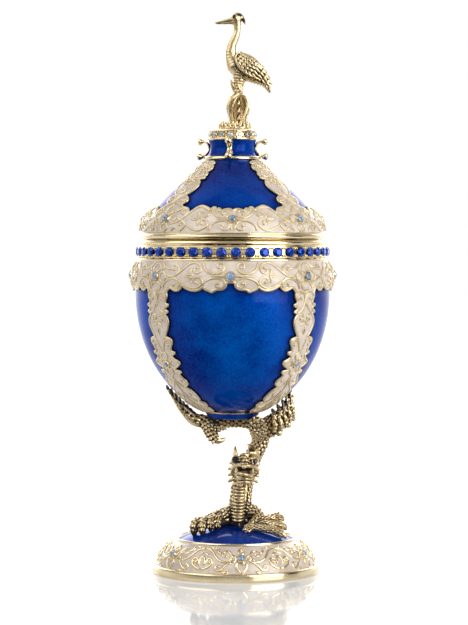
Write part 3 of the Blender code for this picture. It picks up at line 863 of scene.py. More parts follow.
bowl_relief = raised(bowl_line(95.0, 55.2, steps=60), RELIEF)
CUP_SKIN = Skin(np.concatenate([CUP_BAND, bowl_relief[2:]]))
LID_SKIN = Skin(raised(LID_CURVE, RELIEF))
FOOT_SKIN = Skin(raised(FOOT_BAND, 0.15), FOOT_X)
print("skins:", [round(float(skin.length), 1) for skin in (CUP_SKIN, LID_SKIN, FOOT_SKIN)], "mm long")

# %% [markdown]
# ## Raised gold lines
#
# On the real box the gold lines are the ridges that keep two colours of enamel apart. A ridge
# could be a bevelled curve object, but it must follow a doubly curved surface and stay half sunk
# in it. So each one is swept here: at every step a small ring of points stands on the surface's
# own normal. Its ends taper, and a scroll ends in a bead, the eye of the volute.

# %% Wires and beads
WIRE_SPACING = 0.42
WIRE_SIDES = 8
WIRE_FLATNESS = 0.75  # the height of a ridge against its width
WIRE_TAPER = 0.45  # the thickness of an open end


def wire(stock, skin, turn, down, radius, height, closed=False, taper=True):
    """Sweeps a gold ridge along places on a skin. The radius is one number or one per place."""
    centre = skin.place(turn, down, height)
    normal = skin.normal(turn, down)
    if closed:
        along = np.roll(centre, -1, axis=0) - np.roll(centre, 1, axis=0)
    else:
        along = np.gradient(centre, axis=0)
    side = unit(np.cross(along, normal))
    thick = np.broadcast_to(np.asarray(radius, float), (len(centre),)).copy()
    if taper and not closed:
        thick[[0, -1]] *= WIRE_TAPER
    ring = ring_turns(WIRE_SIDES) + np.pi / WIRE_SIDES
    rise = WIRE_FLATNESS * np.sin(ring)
    grid = centre[:, None] + thick[:, None, None] * (
        side[:, None] * np.cos(ring)[None, :, None] + normal[:, None] * rise[None, :, None]
    )
    stock.add(grid, tube_faces(len(centre), WIRE_SIDES, closed))


def ball_parts(segments=10, rings=6):
    """Points and faces of a unit ball."""
    rise = np.linspace(-np.pi / 2, np.pi / 2, rings + 1)[1:-1, None]
    turn = ring_turns(segments)
    places = np.broadcast_arrays(np.cos(rise) * np.cos(turn), np.cos(rise) * np.sin(turn), np.sin(rise))
    middle = np.stack(places, axis=-1).reshape(-1, 3)
    points = np.concatenate([middle, [[0.0, 0.0, -1.0], [0.0, 0.0, 1.0]]])
    faces = grid_faces(len(rise), segments, close_columns=True).tolist()
    south, north, top = len(middle), len(middle) + 1, (len(rise) - 1) * segments
    for k in range(segments):
        j = (k + 1) % segments
        faces.append([south, j, k])
        faces.append([north, top + k, top + j])
    return points, faces


BALL = ball_parts()


def bead(stock, place, radius):
    stock.add(np.asarray(place) + BALL[0] * radius, BALL[1])


def stand_on(normal):
    """Three directions square to each other: straight out of a surface, across it and up it."""
    normal = unit(np.asarray(normal, float))
    across = unit(np.cross(normal, (0.0, 0.0, 1.0)))
    return normal, across, np.cross(across, normal)


HOOP_SIDES = 6


def hoop(stock, centre, normal, radius, thick, steps=20):
    """A small round setting, or a curl, that stands square to a normal."""
    normal, across, up = stand_on(normal)
    turn, ring = ring_turns(steps), ring_turns(HOOP_SIDES)
    outward = across * np.cos(turn)[:, None] + up * np.sin(turn)[:, None]
    grid = np.asarray(centre) + outward[:, None] * (radius + thick * np.cos(ring))[None, :, None]
    grid = grid + normal * (thick * np.sin(ring))[None, :, None]
    stock.add(grid, tube_faces(steps, HOOP_SIDES, closed=True))


# %% [markdown]
# ## Sheets of cream enamel
#
# The cream border has a scalloped edge, so it can't be turned. Its outline is drawn flat and
# filled with triangles by a Delaunay fill, which needs only the outline and a scatter of inner
# points. The fill is then wrapped on the skin twice, once on top and once deeper, and a wall is
# built where the two meet, which gives a solid sheet with a real edge.

# %% Cream sheets
EDGE_CLEAR = 0.45  # how near an inner point may come to the outline, as a share of the spacing


def inside(points, outline):
    """Which points lie inside a closed outline, by counting the edges crossed."""
    x, y = points[:, 0][:, None], points[:, 1][:, None]
    x0, y0 = outline[:, 0][None], outline[:, 1][None]
    x1, y1 = np.roll(outline[:, 0], -1)[None], np.roll(outline[:, 1], -1)[None]
    spans = (y0 > y) != (y1 > y)
    with np.errstate(divide="ignore", invalid="ignore"):
        cross = x < (x1 - x0) * (y - y0) / (y1 - y0) + x0
    return (spans & cross).sum(axis=1) % 2 == 1


def fill_flat(outline, spacing):
    """Triangles that fill a flat closed outline. Returns their points and corners."""
    low, high = outline.min(axis=0), outline.max(axis=0)
    across, down = np.meshgrid(np.arange(low[0], high[0], spacing), np.arange(low[1], high[1], spacing))
    across[1::2] += spacing / 2
    grid = np.stack([across.ravel(), down.ravel()], axis=1)
    grid = grid[inside(grid, outline)]
    near = np.array([np.min(np.hypot(*(outline - p).T)) for p in grid])
    grid = grid[near > EDGE_CLEAR * spacing]
    points = [Vector(p) for p in np.concatenate([outline, grid]).tolist()]
    edges = [(i, (i + 1) % len(outline)) for i in range(len(outline))]
    filled = delaunay_2d_cdt(points, edges, [list(range(len(outline)))], 1, 1e-5)
    return np.array([tuple(p) for p in filled[0]]), np.array(filled[2])


def edge_loops(triangles):
    """The edges of the fill that only one triangle uses, in the direction that it uses them."""
    pairs = np.concatenate([triangles[:, [0, 1]], triangles[:, [1, 2]], triangles[:, [2, 0]]])
    _, index, count = np.unique(np.sort(pairs, axis=1), axis=0, return_inverse=True, return_counts=True)
    return pairs[count[index.reshape(-1)] == 1]


def sheet(stock, skin, flat, triangles, turn, down, depth, open_sides):
    """Wraps a filled outline on a skin and gives it thickness. Open sides join a neighbour."""
    count = len(flat)
    top = skin.place(turn, down, 0.0)
    bottom = skin.place(turn, down, -depth)
    faces = [list(t) for t in triangles] + [[b + count, a + count, c + count] for a, b, c in triangles]
    for a, b in edge_loops(triangles):
        if any(abs(flat[a, 0] - side) < 1e-4 and abs(flat[b, 0] - side) < 1e-4 for side in open_sides):
            continue
        faces.append([b, a, a + count, b + count])
    stock.add(np.concatenate([top, bottom]), faces)


# %% [markdown]
# ## The scalloped borders and their straps
#
# The border round the belt repeats every half turn and is its own mirror image, so a quarter of
# it, from a front stone to a side stone, holds the whole drawing. Four straps run from the border
# towards the pole, and they stand a little nearer to the side stones, which makes the front
# panel wider. Flat widths run from 0, under a stone, to EIGHTH, the middle of a strap, and are
# stretched to fit on each side. Lengths run from the gold line at the belt.

# %% Border outlines
EIGHTH = 27.95
STRAP_TURN = math.radians(46.7)
QUARTER = math.radians(90.0)
COPIES = [(start, side) for start in (0.0, math.pi) for side in (1, -1)]
CUP_EDGE = [
    (0, 7.1), (1.3, 7.3), (1.7, 8.4), (2.2, 9.1), (3.1, 9.5), (4.7, 9.6), (5.6, 9.9), (6.3, 10.4),
    (7.4, 9.9), (8.7, 9.4), (9.3, 8.7), (10.2, 9.4), (11.6, 9.9), (13, 9.9), (14.7, 9.5), (16, 8.8),
    (16.9, 8.2), (17.4, 9.1), (18.3, 9.8), (19.5, 10), (20.6, 9.6), (21.6, 9.1), (22.6, 9.5),
]
CUP_STRAP = [  # half width, length
    (4.3, 10.8), (4.4, 12.2), (3.7, 13.4), (3.8, 14.5), (5.1, 15), (3.9, 15.5), (3.8, 16.7), (4.9, 17.1),
    (3.4, 17.9), (4.3, 19.2), (4.7, 20.9), (4, 22.9), (2.9, 24.9), (2.4, 25.8), (3.6, 26.1), (4.9, 26.6),
    (5.1, 27.6), (4.4, 28.7), (3.9, 29.9), (4.1, 31), (5.4, 31.3), (3.9, 32), (3.5, 32.8), (4.4, 33.8),
    (6, 34.9), (4.8, 36.1), (3.3, 37), (2.9, 38), (5, 38.6), (3.8, 39.5), (4.1, 41), (5.1, 42.2),
    (5.2, 43.4), (4, 44.5), (2.9, 45.1), (4.4, 46.4), (5.2, 48.6), (5.1, 50.9), (4, 52.6), (5.4, 53.4),
    (5.2, 54.9), (4.1, 56), (4.3, 58.4), (3.2, 60.2),
]
LID_EDGE = [
    (0, 8), (1.4, 8.7), (3.1, 8.5), (4.3, 8.1), (5, 8.4), (5.6, 9.1), (6.2, 7.8), (6.8, 8.9), (7.4, 9.5),
    (8.3, 9.2), (8.9, 8.4), (9.9, 9), (11.6, 9.8), (13.3, 10.1), (15.1, 9.4), (16.8, 8), (18, 7.3),
    (18.6, 7.9), (19.4, 8.9), (21.2, 9.4), (22.8, 9.6),
]
LID_STRAP = [
    (4.3, 9.8), (3.5, 10.6), (3.7, 11.4), (4.7, 12.3), (4.5, 13.5), (3.3, 14.5), (2.4, 15.1), (3.6, 16.6),
    (4.4, 18.3), (4.6, 19.9), (3.9, 21.6), (2.5, 23), (3.4, 23.4), (4.5, 23.6), (4, 24.6), (4.2, 25.5),
    (3.3, 27.1), (4, 28.6), (3.5, 29.9), (2.3, 30.8), (3.1, 31.4), (1.8, 32.2),
]
EDGE_SPACING = 0.4
CREAM_DEPTH = 1.1


def cup_strap_turn(length):
    """Middle line of a cup strap, as a turn from a front stone. The straps spread downwards."""
    return STRAP_TURN + math.radians(0.128) * np.maximum(0.0, length - 14.0)


def lid_strap_turn(length):
    return STRAP_TURN + math.radians(1.4) * np.clip((length - 8.0) / 8.0, 0.0, 1.0)


class Border:
    """One border with its straps: how its flat drawing maps to turns and lengths on its skin."""

    def __init__(self, skin, phase, edge, strap, strap_turn, upside_down):
        self.skin, self.phase, self.upside_down = skin, phase, upside_down
        self.edge, self.strap, self.strap_turn = edge, strap, strap_turn

    def down(self, length):
        return self.skin.length - length if self.upside_down else np.asarray(length, float)

    def band_place(self, x, length, by_side=False):
        """Turn and length down the skin for a point of the band, from the front or side stone."""
        x = np.asarray(x, float) / EIGHTH
        turn = QUARTER - x * (QUARTER - STRAP_TURN) if by_side else x * STRAP_TURN
        return turn, self.down(length)

    def strap_place(self, x, length):
        """The same for a point of the strap, whose x runs both ways from its middle line."""
        down = self.down(length)
        return self.strap_turn(np.asarray(length)) + np.asarray(x) / self.skin.radius(down), down


CUP_BORDER = Border(CUP_SKIN, math.radians(-1.0), CUP_EDGE, CUP_STRAP, cup_strap_turn, upside_down=False)
LID_BORDER = Border(LID_SKIN, math.radians(0.2), LID_EDGE, LID_STRAP, lid_strap_turn, upside_down=True)


def quarter_edge(border):
    """The scalloped edge from a front stone to a side stone, as turns and lengths down."""
    edge = even_path(border.edge, EDGE_SPACING)
    strap = even_path(border.strap, EDGE_SPACING)
    parts = [
        border.band_place(edge[:, 0], edge[:, 1]),
        border.strap_place(-strap[:, 0], strap[:, 1]),
        border.strap_place(strap[::-1, 0], strap[::-1, 1]),
        border.band_place(edge[::-1, 0], edge[::-1, 1], by_side=True),
    ]
    return np.concatenate([np.stack(part, axis=1) for part in parts])


def border_sheet(name, border):
    """The cream sheet of a border: a quarter is filled once and used four times."""
    spread = EGG_RADIUS  # turns are filled as lengths, so that the triangles are even
    edge = quarter_edge(border) * (spread, 1.0)
    belt = float(border.down(0.0))
    width = QUARTER * spread
    side_steps = np.linspace(belt, edge[0, 1], 12)[1:-1]
    top_steps = np.linspace(0.0, width, 90)
    outline = np.concatenate([
        edge,
        np.stack([np.full(len(side_steps), width), side_steps[::-1]], axis=1),
        np.stack([top_steps[::-1], np.full(len(top_steps), belt)], axis=1),
        np.stack([np.zeros(len(side_steps)), side_steps], axis=1),
    ])
    flat, triangles = fill_flat(outline, 1.0)
    stock = Stock()
    for start, side in COPIES:
        turn = border.phase + start + side * flat[:, 0] / spread
        sheet(stock, border.skin, flat, triangles[:, ::side], turn, flat[:, 1], CREAM_DEPTH, (0.0, width))
    return make_piece(name, stock, cream_enamel, smooth_angle=50.0, weld=0.002)


border_sheet("cup_cream_enamel", CUP_BORDER)
border_sheet("lid_cream_enamel", LID_BORDER)

# %% [markdown]
# ## The drawing of the cup's border
#
# From a stone to a strap the band holds two kidney-shaped cells, a heart on its side with a small
# lily in it, and half of a four-petalled flower round the strap's stone. Each curve is a short
# list of points, as a pen would place them: a width and a length, and where a line swells, its
# thickness too. A scroll ends in a bead, the eye of the volute.

# %% Cup curves
LINE = 0.36
BORDER_LINE = 0.5

CUP_SCROLLS = [  # lines that end in a bead
    [(9.4, 0.5), (9.1, 1.5), (8.7, 2.6), (7.9, 3.5), (6.5, 4.3), (4.9, 4.5), (3.4, 4.1), (2.4, 3.2),
     (2.1, 2), (2.6, 1), (3.8, 0.8), (4.6, 1.5), (4.3, 2.4), (3.6, 2.4)],
    [(9.2, 8.8), (8.9, 7.6), (7.7, 6.6), (6.3, 6.1), (4.6, 5.9), (3, 6.2), (2.1, 6.9), (1.9, 7.9),
     (2.5, 8.8), (3.8, 9), (4.7, 8.5), (4.6, 7.6), (3.9, 7.6)],
    [(19.8, 5.5), (17.8, 4.1), (15.8, 2.3), (14.4, 1.1), (13.1, 0.6), (11.7, 0.8), (10.4, 1.5),
     (9.9, 2.8), (10.5, 4), (11.6, 4.3), (12.4, 3.6), (12.2, 2.6), (11.4, 2.5)],
    [(19.8, 5.5), (18.2, 6.6), (16.4, 7.9), (14.4, 8.9), (12.6, 9.3), (11.1, 8.9), (9.9, 8.2), (9.5, 7.1),
     (10, 6), (11.2, 5.6), (12.3, 6.2), (12.4, 7.1), (11.6, 7.3)],
    [(19.2, 5.1), (18.3, 4.2), (18, 3), (18.8, 1.8), (20, 1.4), (21, 2), (20.7, 3), (19.9, 3)],
    [(24.9, 9.6), (24.3, 8.2), (23.2, 7.1), (21.4, 6.2), (19.6, 6.1), (18.3, 6.8), (17.7, 7.9), (18.1, 9),
     (19.2, 9.3), (20.2, 8.8), (19.9, 7.9)],
]
CUP_LINES = [
    [(20.8, 2.4), (22, 2.9), (23.4, 2.5), (24.4, 1.4)],
    [(19.8, 5.5), (21.6, 5.3), (23.2, 4.9)],
    [(12.9, 5.1), (13.5, 4.4), (13.7, 3.6), (13.2, 2.9)],
    [(12.9, 5.3), (13.4, 6), (13.6, 6.8), (13.1, 7.5)],
    [(25.2, 3.4), (24.4, 2.6), (25.2, 1.2), (26, 0.5)],
    [(1.2, 5.2, 1.7), (3, 5.2, 1.5), (5.4, 5.2, 0.9), (6.6, 5.2, 0.4)],
]
CUP_LOOPS = [
    [(12.9, 5.2, 0.7), (14.1, 4.8, 0.8), (15.6, 5.2, 0.7), (14.1, 5.6, 0.8)],
    [(23.3, 5.6), (23.8, 4.3), (25, 4), (25.9, 4.8), (25.9, 6.4), (25, 7.2), (23.9, 6.9)],
]
CUP_AXIS_LOOPS = [  # drawn once, because they lie across the strap's middle line
    [(27.1, 3.8), (26.2, 3), (26.5, 1.8), (27.95, 0.9), (29.4, 1.8), (29.7, 3), (28.8, 3.8)],
    [(27, 7.3), (26, 8), (26, 9.1), (27.2, 10), (28.7, 10), (29.9, 9.1), (29.9, 8), (28.9, 7.3)],
]
CUP_STRAP_SCROLLS = [
    [(3.4, 17.7), (1.8, 16.5), (0.75, 14.9), (0.3, 13.5), (0.4, 12.1), (1.3, 10.9), (2.7, 10.7),
     (3.8, 11.3), (4, 12.4), (3.1, 13.2), (2.2, 12.8)],
    [(0.9, 29.7), (1.6, 27.8), (2.6, 26.7), (3.8, 26.5), (4.7, 27.2), (4.4, 28.3), (3.4, 28.4)],
    [(2.9, 18.2), (1.5, 18.1), (0.8, 18.8), (1.2, 19.6), (2.2, 19.6)],
]
CUP_STRAP_LINES = [
    [(0, 20.3), (1.1, 20.2), (2.3, 20.1)],
    [(0, 20.6), (0.8, 21.2), (2, 21.7)],
    [(2.4, 25.8), (1.6, 27.8), (0.8, 29.8), (0.2, 31.4)],
    [(4.3, 28.8), (3.6, 30.2), (3.9, 31.2)],
    [(2.9, 45.1), (1.6, 43.9), (0.6, 42.2), (0.1, 40.6)],
    [(3.9, 52.6), (2.4, 51.2), (1.1, 49.2), (0.2, 46.5)],
    [(4.1, 56.1), (2.7, 55.6), (1.2, 54.2), (0.3, 52)],
    [(3.6, 59.2), (2.3, 58.6), (1, 57.2), (0.3, 55.2)],
    [(3.4, 47.8), (2.9, 49.2), (2.1, 49.8)],
    [(3.9, 41.8), (3, 42.6), (2, 42.3)],
]
CUP_STRAP_LOOPS = [[(1.9, 35.5), (2.6, 34.2), (4.2, 33.9), (5.6, 34.9), (4.5, 36), (2.9, 36.9)]]
CUP_MIDDLE_LINES = [[(0, 10.2), (0, 15.2)], [(0, 40.2), (0, 48), (0, 60.2)]]
CUP_MIDDLE_LOOPS = [
    [(0, 22.6, 0.8), (0.45, 23.6, 0.8), (0, 24.8, 0.8), (-0.45, 23.6, 0.8)],
    [(0, 31.2), (1.4, 32), (1.5, 33), (0.5, 33.9), (-0.5, 33.9), (-1.5, 33), (-1.4, 32)],
    [(0.5, 37.2), (1.6, 37.9), (1.5, 39), (0, 40), (-1.5, 39), (-1.6, 37.9), (-0.5, 37.2)],
]
CUP_STRAP_STONE = 35.5

# %% [markdown]
# ## The drawing of the lid's border
#
# The lid carries the same drawing upside down, a little flatter. Its lengths run up from the
# belt, so the small crown of leaf tips over each stone comes at the greatest length.

# %% Lid curves
LID_SCROLLS = [
    [(8.6, 9.2), (8.2, 7.9), (7.2, 6.6), (5.7, 5.6), (4, 5.1), (2.6, 5.3), (1.7, 6.1), (1.9, 7.3),
     (3, 7.9), (4.1, 7.4), (3.9, 6.5)],
    [(8.6, 0.6), (8.3, 1.9), (7.1, 3.1), (5.1, 3.9), (3.1, 4), (1.8, 3.4), (1.3, 2.3), (1.8, 1.1),
     (3.1, 0.8), (4, 1.5), (3.6, 2.3)],
    [(20.7, 4.5), (18.6, 6.1), (16.7, 7.8), (15.1, 9.1), (13.4, 9.6), (11.7, 9.3), (10, 8.5), (9.2, 7.3),
     (9.6, 6), (10.8, 5.6), (11.7, 6.3), (11.4, 7.3)],
    [(20.7, 4.5), (18.6, 3.1), (16.5, 1.9), (14.3, 0.9), (12.7, 0.7), (10.8, 1.3), (9.5, 2.3), (9.5, 3.6),
     (10.6, 4.4), (11.7, 3.9), (11.5, 2.9)],
    [(19.9, 4.9), (19.2, 6.2), (18.8, 7.4), (19.6, 8.5), (20.9, 8.6), (21.6, 7.7), (20.9, 6.9)],
    [(20.2, 0.5), (18.9, 1.5), (18.1, 2.8), (18.9, 3.8), (20.2, 3.5), (20.4, 2.6)],
]
LID_LINES = [
    [(21, 0.5), (21.8, 1.7), (22.9, 1.6), (24, 0.6)],
    [(20.7, 4.5), (22, 4.9), (23.4, 5.4)],
    [(20.7, 4.5), (22.2, 3.6), (24, 3.2), (25.6, 3)],
    [(12.4, 4.9), (13.2, 5.6), (13.5, 6.4), (13, 7.2)],
    [(12.4, 4.5), (13.1, 3.8), (13.4, 3), (12.9, 2.2)],
    [(22, 9.3), (23, 8.2), (24.4, 7.6), (26, 7.8)],
    [(1.2, 4.6, 1.6), (2.8, 4.6, 1.3), (4.8, 4.6, 0.9), (6.2, 4.6, 0.4)],
    [(0.4, 3.2), (0.8, 2), (0.4, 0.8)],
    [(5.6, 9), (5.3, 8), (4.6, 7.4)],
    [(6.6, 9), (6.4, 8), (5.8, 7)],
]
LID_LOOPS = [
    [(13, 4.7, 0.7), (14.4, 4.35, 0.8), (16.2, 4.7, 0.7), (14.4, 5.05, 0.8)],
    [(23.4, 5), (24, 3.9), (25.3, 3.7), (26.2, 4.6), (26, 5.8), (24.9, 6.3), (23.8, 6)],
]
LID_AXIS_LOOPS = [
    [(27.2, 3), (26.4, 1.8), (27, 0.7), (27.95, 0.2), (28.9, 0.7), (29.5, 1.8), (28.7, 3)],
    [(27, 6.7), (26.2, 7.8), (26.8, 9), (27.95, 9.8), (29.1, 9), (29.7, 7.8), (28.9, 6.7)],
]
LID_STRAP_SCROLLS = [
    [(0.3, 15), (0.5, 13.2), (1.4, 14.2), (2.8, 14.5), (4.1, 13.7), (4.2, 12.7), (3.2, 12.4)],
    [(2.5, 22.8), (1.4, 23.1), (0.4, 22.6), (0.7, 21.8), (1.6, 21.7)],
    [(0.1, 28.9), (1.3, 30), (2.5, 29.9), (2.7, 28.9), (1.9, 28.6)],
]
LID_STRAP_LINES = [
    [(0, 20.2), (1.2, 20.9), (2.6, 20.5)],
    [(0, 23.9), (1.8, 24.2), (2.9, 24.9), (2.6, 26.2), (1.6, 27.6), (0.2, 28.5)],
    [(2.4, 15.1), (1, 14.7), (0.2, 13.8)],
    [(3.3, 10.6), (2, 10.9), (0.9, 11.9), (0.4, 13.2)],
]
LID_STRAP_LOOPS = []
LID_MIDDLE_LINES = [[(0, 9.6), (0, 14.8)], [(0, 22.2), (0, 28), (0, 32.2)]]
LID_MIDDLE_LOOPS = [[(0, 15.8, 0.8), (0.5, 17.4, 0.8), (0, 19.6, 0.8), (-0.5, 17.4, 0.8)]]

# %% [markdown]
# ## Laying the lines
#
# Each list is drawn in every copy of the quarter: once from the front stone and once from the
# side stone towards the strap, and, on the strap, once on each side of its middle line.

# %% Gold lines
BEAD_SHARE = 1.45  # the eye of a scroll against the line that it ends
LINE_RISE, EYE_RISE, EDGE_RISE = 0.06, 0.1, -0.1  # how high the middles of lines lie on the skin


def with_width(points):
    """Stations as (x, length, thickness), where a plain pair has thickness 1."""
    return np.array([(*point, 1.0)[:3] for point in points])


class Pen:
    """Draws the curves of one border into a stock, in every copy of the quarter."""

    def __init__(self, stock, border):
        self.stock, self.border = stock, border

    def line(self, points, place, closed=False, eye=False, thick=LINE):
        """Place is a function of (x, length) that gives a turn and a length down the skin."""
        path = even_path(with_width(points), WIRE_SPACING, closed)
        turn, down = place(path[:, 0], path[:, 1])
        skin = self.border.skin
        for start, side in COPIES:
            there = self.border.phase + start + side * turn
            wire(self.stock, skin, there, down, thick * path[:, 2], LINE_RISE, closed)
            if eye:
                bead(self.stock, skin.place(there[-1], down[-1], EYE_RISE), BEAD_SHARE * thick)

    def band(self, curves, **how):
        for points in curves:
            self.line(points, self.border.band_place, **how)
            self.line(points, lambda x, y: self.border.band_place(x, y, by_side=True), **how)

    def strap(self, curves, ways=(1, -1), **how):
        for points in curves:
            for way in ways:
                self.line(points, lambda x, y: self.border.strap_place(way * x, y), **how)

    def edge(self, thick):
        """The ridge round the scalloped outline."""
        rows = quarter_edge(self.border)
        for start, side in COPIES:
            turn = self.border.phase + start + side * rows[:, 0]
            wire(self.stock, self.border.skin, turn, rows[:, 1], thick, EDGE_RISE, taper=False)


def draw_border(name, border, scrolls, lines, loops, axis_loops, strap):
    """All the gold lines of a border."""
    strap_scrolls, strap_lines, strap_loops, middle_lines, middle_loops = strap
    pen = Pen(Stock(), border)
    pen.edge(BORDER_LINE)
    pen.band(scrolls, eye=True)
    pen.band(lines)
    pen.band(loops, closed=True)
    for points in axis_loops:
        pen.line([(x - EIGHTH, *rest) for x, *rest in points], border.strap_place, closed=True)
    pen.strap(strap_scrolls, eye=True)
    pen.strap(strap_lines)
    pen.strap(strap_loops, closed=True)
    pen.strap(middle_lines, ways=(1,))
    pen.strap(middle_loops, ways=(1,), closed=True)
    return make_piece(name, pen.stock, satin_gold, smooth_angle=60.0)


draw_border(
    "cup_gold_lines", CUP_BORDER, CUP_SCROLLS, CUP_LINES, CUP_LOOPS, CUP_AXIS_LOOPS,
    (CUP_STRAP_SCROLLS, CUP_STRAP_LINES, CUP_STRAP_LOOPS, CUP_MIDDLE_LINES, CUP_MIDDLE_LOOPS),
)
draw_border(
    "lid_gold_lines", LID_BORDER, LID_SCROLLS, LID_LINES, LID_LOOPS, LID_AXIS_LOOPS,
    (LID_STRAP_SCROLLS, LID_STRAP_LINES, LID_STRAP_LOOPS, LID_MIDDLE_LINES, LID_MIDDLE_LOOPS),
)

# %% [markdown]
# ## Where the blue is deepest
#
# Each blue field is darker in a margin along a ridge, about as wide as the ridge is tall. The
# distance to the ridge is measured once for every point of the blue enamel and kept there under the
# name shore, from 0 in the open field to 1 at the ridge.

# %% Margins
SHORE_NEAR = 0.7  # millimetres from the middle of the ridge, where the margin is darkest
SHORE_FAR = 2.3


def keep_values(mesh, name, values):
    """Keeps one value for each point of a mesh, for its finish to read."""
    layer = mesh.attributes.new(name, "FLOAT", "POINT")
    layer.data.foreach_set("value", values.astype(np.float32))


def mark_shore(name, border):
    """Keeps on a blue enamel how near each of its points is to the ridge of a border."""
    rows = quarter_edge(border)
    copies = [border.phase + start + side * rows[:, 0] for start, side in COPIES]
    ridge = np.concatenate([border.skin.place(turn, rows[:, 1]) for turn in copies])
    tree = KDTree(len(ridge))
    for number, place in enumerate(ridge):
        tree.insert(place, number)
    tree.balance()
    mesh = bpy.data.objects[name].data
    away = np.array([tree.find(vertex.co / MM)[2] for vertex in mesh.vertices])
    keep_values(mesh, "shore", np.clip((SHORE_FAR - away) / (SHORE_FAR - SHORE_NEAR), 0.0, 1.0))


mark_shore("cup_blue_enamel", CUP_BORDER)
mark_shore("lid_blue_enamel", LID_BORDER)
print("margins marked")

# %% [markdown]
# ## The foot's border
#
# The foot carries six stones. Between two of them a vine leaves the stone's flower, rises to the
# dome and falls to the next flower, and a pair of volutes with a leaf fills the space below it.
# This drawing is its own mirror image too, so it is written for a twelfth of the turn.

# %% Foot border
FOOT_STONES = 6
FOOT_PHASE = math.radians(4.2)
TWELFTH = 13.1
FOOT_CURVES = [
    [(1.9, 6.4), (3.4, 7), (5.4, 7), (7.4, 6.2), (8.8, 4.7), (10, 3.1), (11.4, 2.1), (13.1, 1.8)],
    [(3.2, 7), (5, 8.2), (6.2, 9.6), (7.6, 9.9), (8.4, 9), (7.8, 8.2), (7, 8.6)],
    [(13.1, 9.6), (11.6, 9.3), (10, 8.2), (9.5, 6.8), (10.3, 5.8), (11.4, 6.2), (11.2, 7.2), (10.5, 7.2)],
    [(4.4, 6.6), (3.3, 5.2), (3.4, 3.6), (4.6, 2.6), (6, 3), (6.3, 4.2), (5.4, 4.9), (4.7, 4.3)],
    [(6.3, 3.6), (7.4, 3.4), (8.2, 2.4), (8, 1.4)],
    [(9.2, 1), (10.2, 1.4), (11.2, 1)],
    [(12.2, 8.2), (12, 7), (12.4, 5.8), (13.1, 4.8)],
    [(11.2, 4.8), (12, 4), (13.1, 3.6)],
    [(4.2, 10.2), (5, 10.6), (6, 10.6)],
]
FOOT_EYED = [1, 2, 3]  # the curves that end in a bead
FOOT_SIDE_LOOPS = [[(1.7, 5.5), (2.4, 4.6), (3.2, 4.9), (3.2, 5.9), (2.4, 6.4)]]
FOOT_STONE_LOOPS = [
    [(0, 4), (-0.9, 3.2), (0, 1.5), (0.9, 3.2)],
    [(-1.3, 7.2), (-1.7, 8.6), (-0.6, 10.4), (0, 10.8), (0.6, 10.4), (1.7, 8.6), (1.3, 7.2), (0, 7.6)],
]
FOOT_STONE_DOWN = 5.7
FOOT_LINE, FOOT_LEAF_LINE, FOOT_EYE = 0.42, 0.38, 0.5
VINE_RISE = -0.05
FOOT_CREAM_RISE = 0.08
FOOT_TURN = math.radians(30.0) / TWELFTH  # radians for each millimetre of the flat drawing

stock = Stock()
lower = sunk(FOOT_BAND, SKIN_DEPTH)
turned(stock, np.concatenate([raised(FOOT_BAND, FOOT_CREAM_RISE), lower[::-1]]), FOOT_X, closed=True)
make_piece("foot_cream_enamel", stock, cream_enamel, weld=0.001)


def foot_wire(middle, side, points, thick, height=0.0, closed=False):
    """One line of the foot's drawing, on either side of a stone."""
    path = even_path(points, WIRE_SPACING, closed)
    wire(stock, FOOT_SKIN, middle + side * path[:, 0] * FOOT_TURN, path[:, 1], thick, height, closed)


stock = Stock()
foot_middles = [FOOT_PHASE + 2 * math.pi / FOOT_STONES * number for number in range(FOOT_STONES)]
for middle in foot_middles:
    for side in (1, -1):
        for points in FOOT_CURVES:
            foot_wire(middle, side, points, FOOT_LINE, VINE_RISE)
        for which in FOOT_EYED:
            x, down = FOOT_CURVES[which][-1]
            bead(stock, FOOT_SKIN.place(middle + side * x * FOOT_TURN, down), FOOT_EYE)
        for points in FOOT_SIDE_LOOPS:
            foot_wire(middle, side, points, FOOT_LEAF_LINE, closed=True)
    for points in FOOT_STONE_LOOPS:
        foot_wire(middle, 1, points, FOOT_LINE, closed=True)
make_piece("foot_gold_lines", stock, bright_gold, smooth_angle=60.0)

# %% [markdown]
# ## Stones
#
# A round brilliant has a flat table, a crown of small facets, a thin girdle and a pointed back.
# Flat shading keeps every facet crisp, which is all that makes glass look cut. A stone is built
# once with its table towards +Z, and then stood on the surface, facing along its normal.

# %% Brilliant cut
STONE_RINGS = [  # radius, height, and half a facet's turn or none
    (0.52, 0.40, 0), (0.80, 0.25, 1), (1.0, 0.03, 0), (1.0, 0.03, 1),
]
STONE_POINT = -0.62


def brilliant(sides=8):
    """Points and faces of a stone of radius 1, its girdle at height 0 and its table up."""
    rings = []
    for radius, height, shift in STONE_RINGS:
        turn = ring_turns(sides) + shift * np.pi / sides
        rings.append(np.stack([radius * np.cos(turn), radius * np.sin(turn), np.full(sides, height)], axis=1))
    points = np.concatenate(rings + [[[0.0, 0.0, STONE_POINT]]])
    table, star, girdle, between, back = 0, sides, 2 * sides, 3 * sides, 4 * sides
    faces = [list(range(sides))]
    for k in range(sides):
        j = (k + 1) % sides
        faces.append([table + k, star + k, table + j])
        faces.append([table + k, star + (k - 1) % sides, girdle + k, star + k])
        faces.append([star + k, girdle + k, between + k])
        faces.append([star + k, between + k, girdle + j])
        faces.append([girdle + k, back, between + k])
        faces.append([between + k, back, girdle + j])
    return points, faces


CUT = brilliant()


def set_stone(stock, place, normal, radius, spin=0.0):
    """Stands a cut stone on a place, facing along the normal."""
    normal, across, up = stand_on(normal)
    x = CUT[0][:, 0] * math.cos(spin) - CUT[0][:, 1] * math.sin(spin)
    y = CUT[0][:, 0] * math.sin(spin) + CUT[0][:, 1] * math.cos(spin)
    points = np.asarray(place) + radius * (x[:, None] * across - y[:, None] * up + CUT[0][:, 2:] * normal)
    stock.add(points, CUT[1])


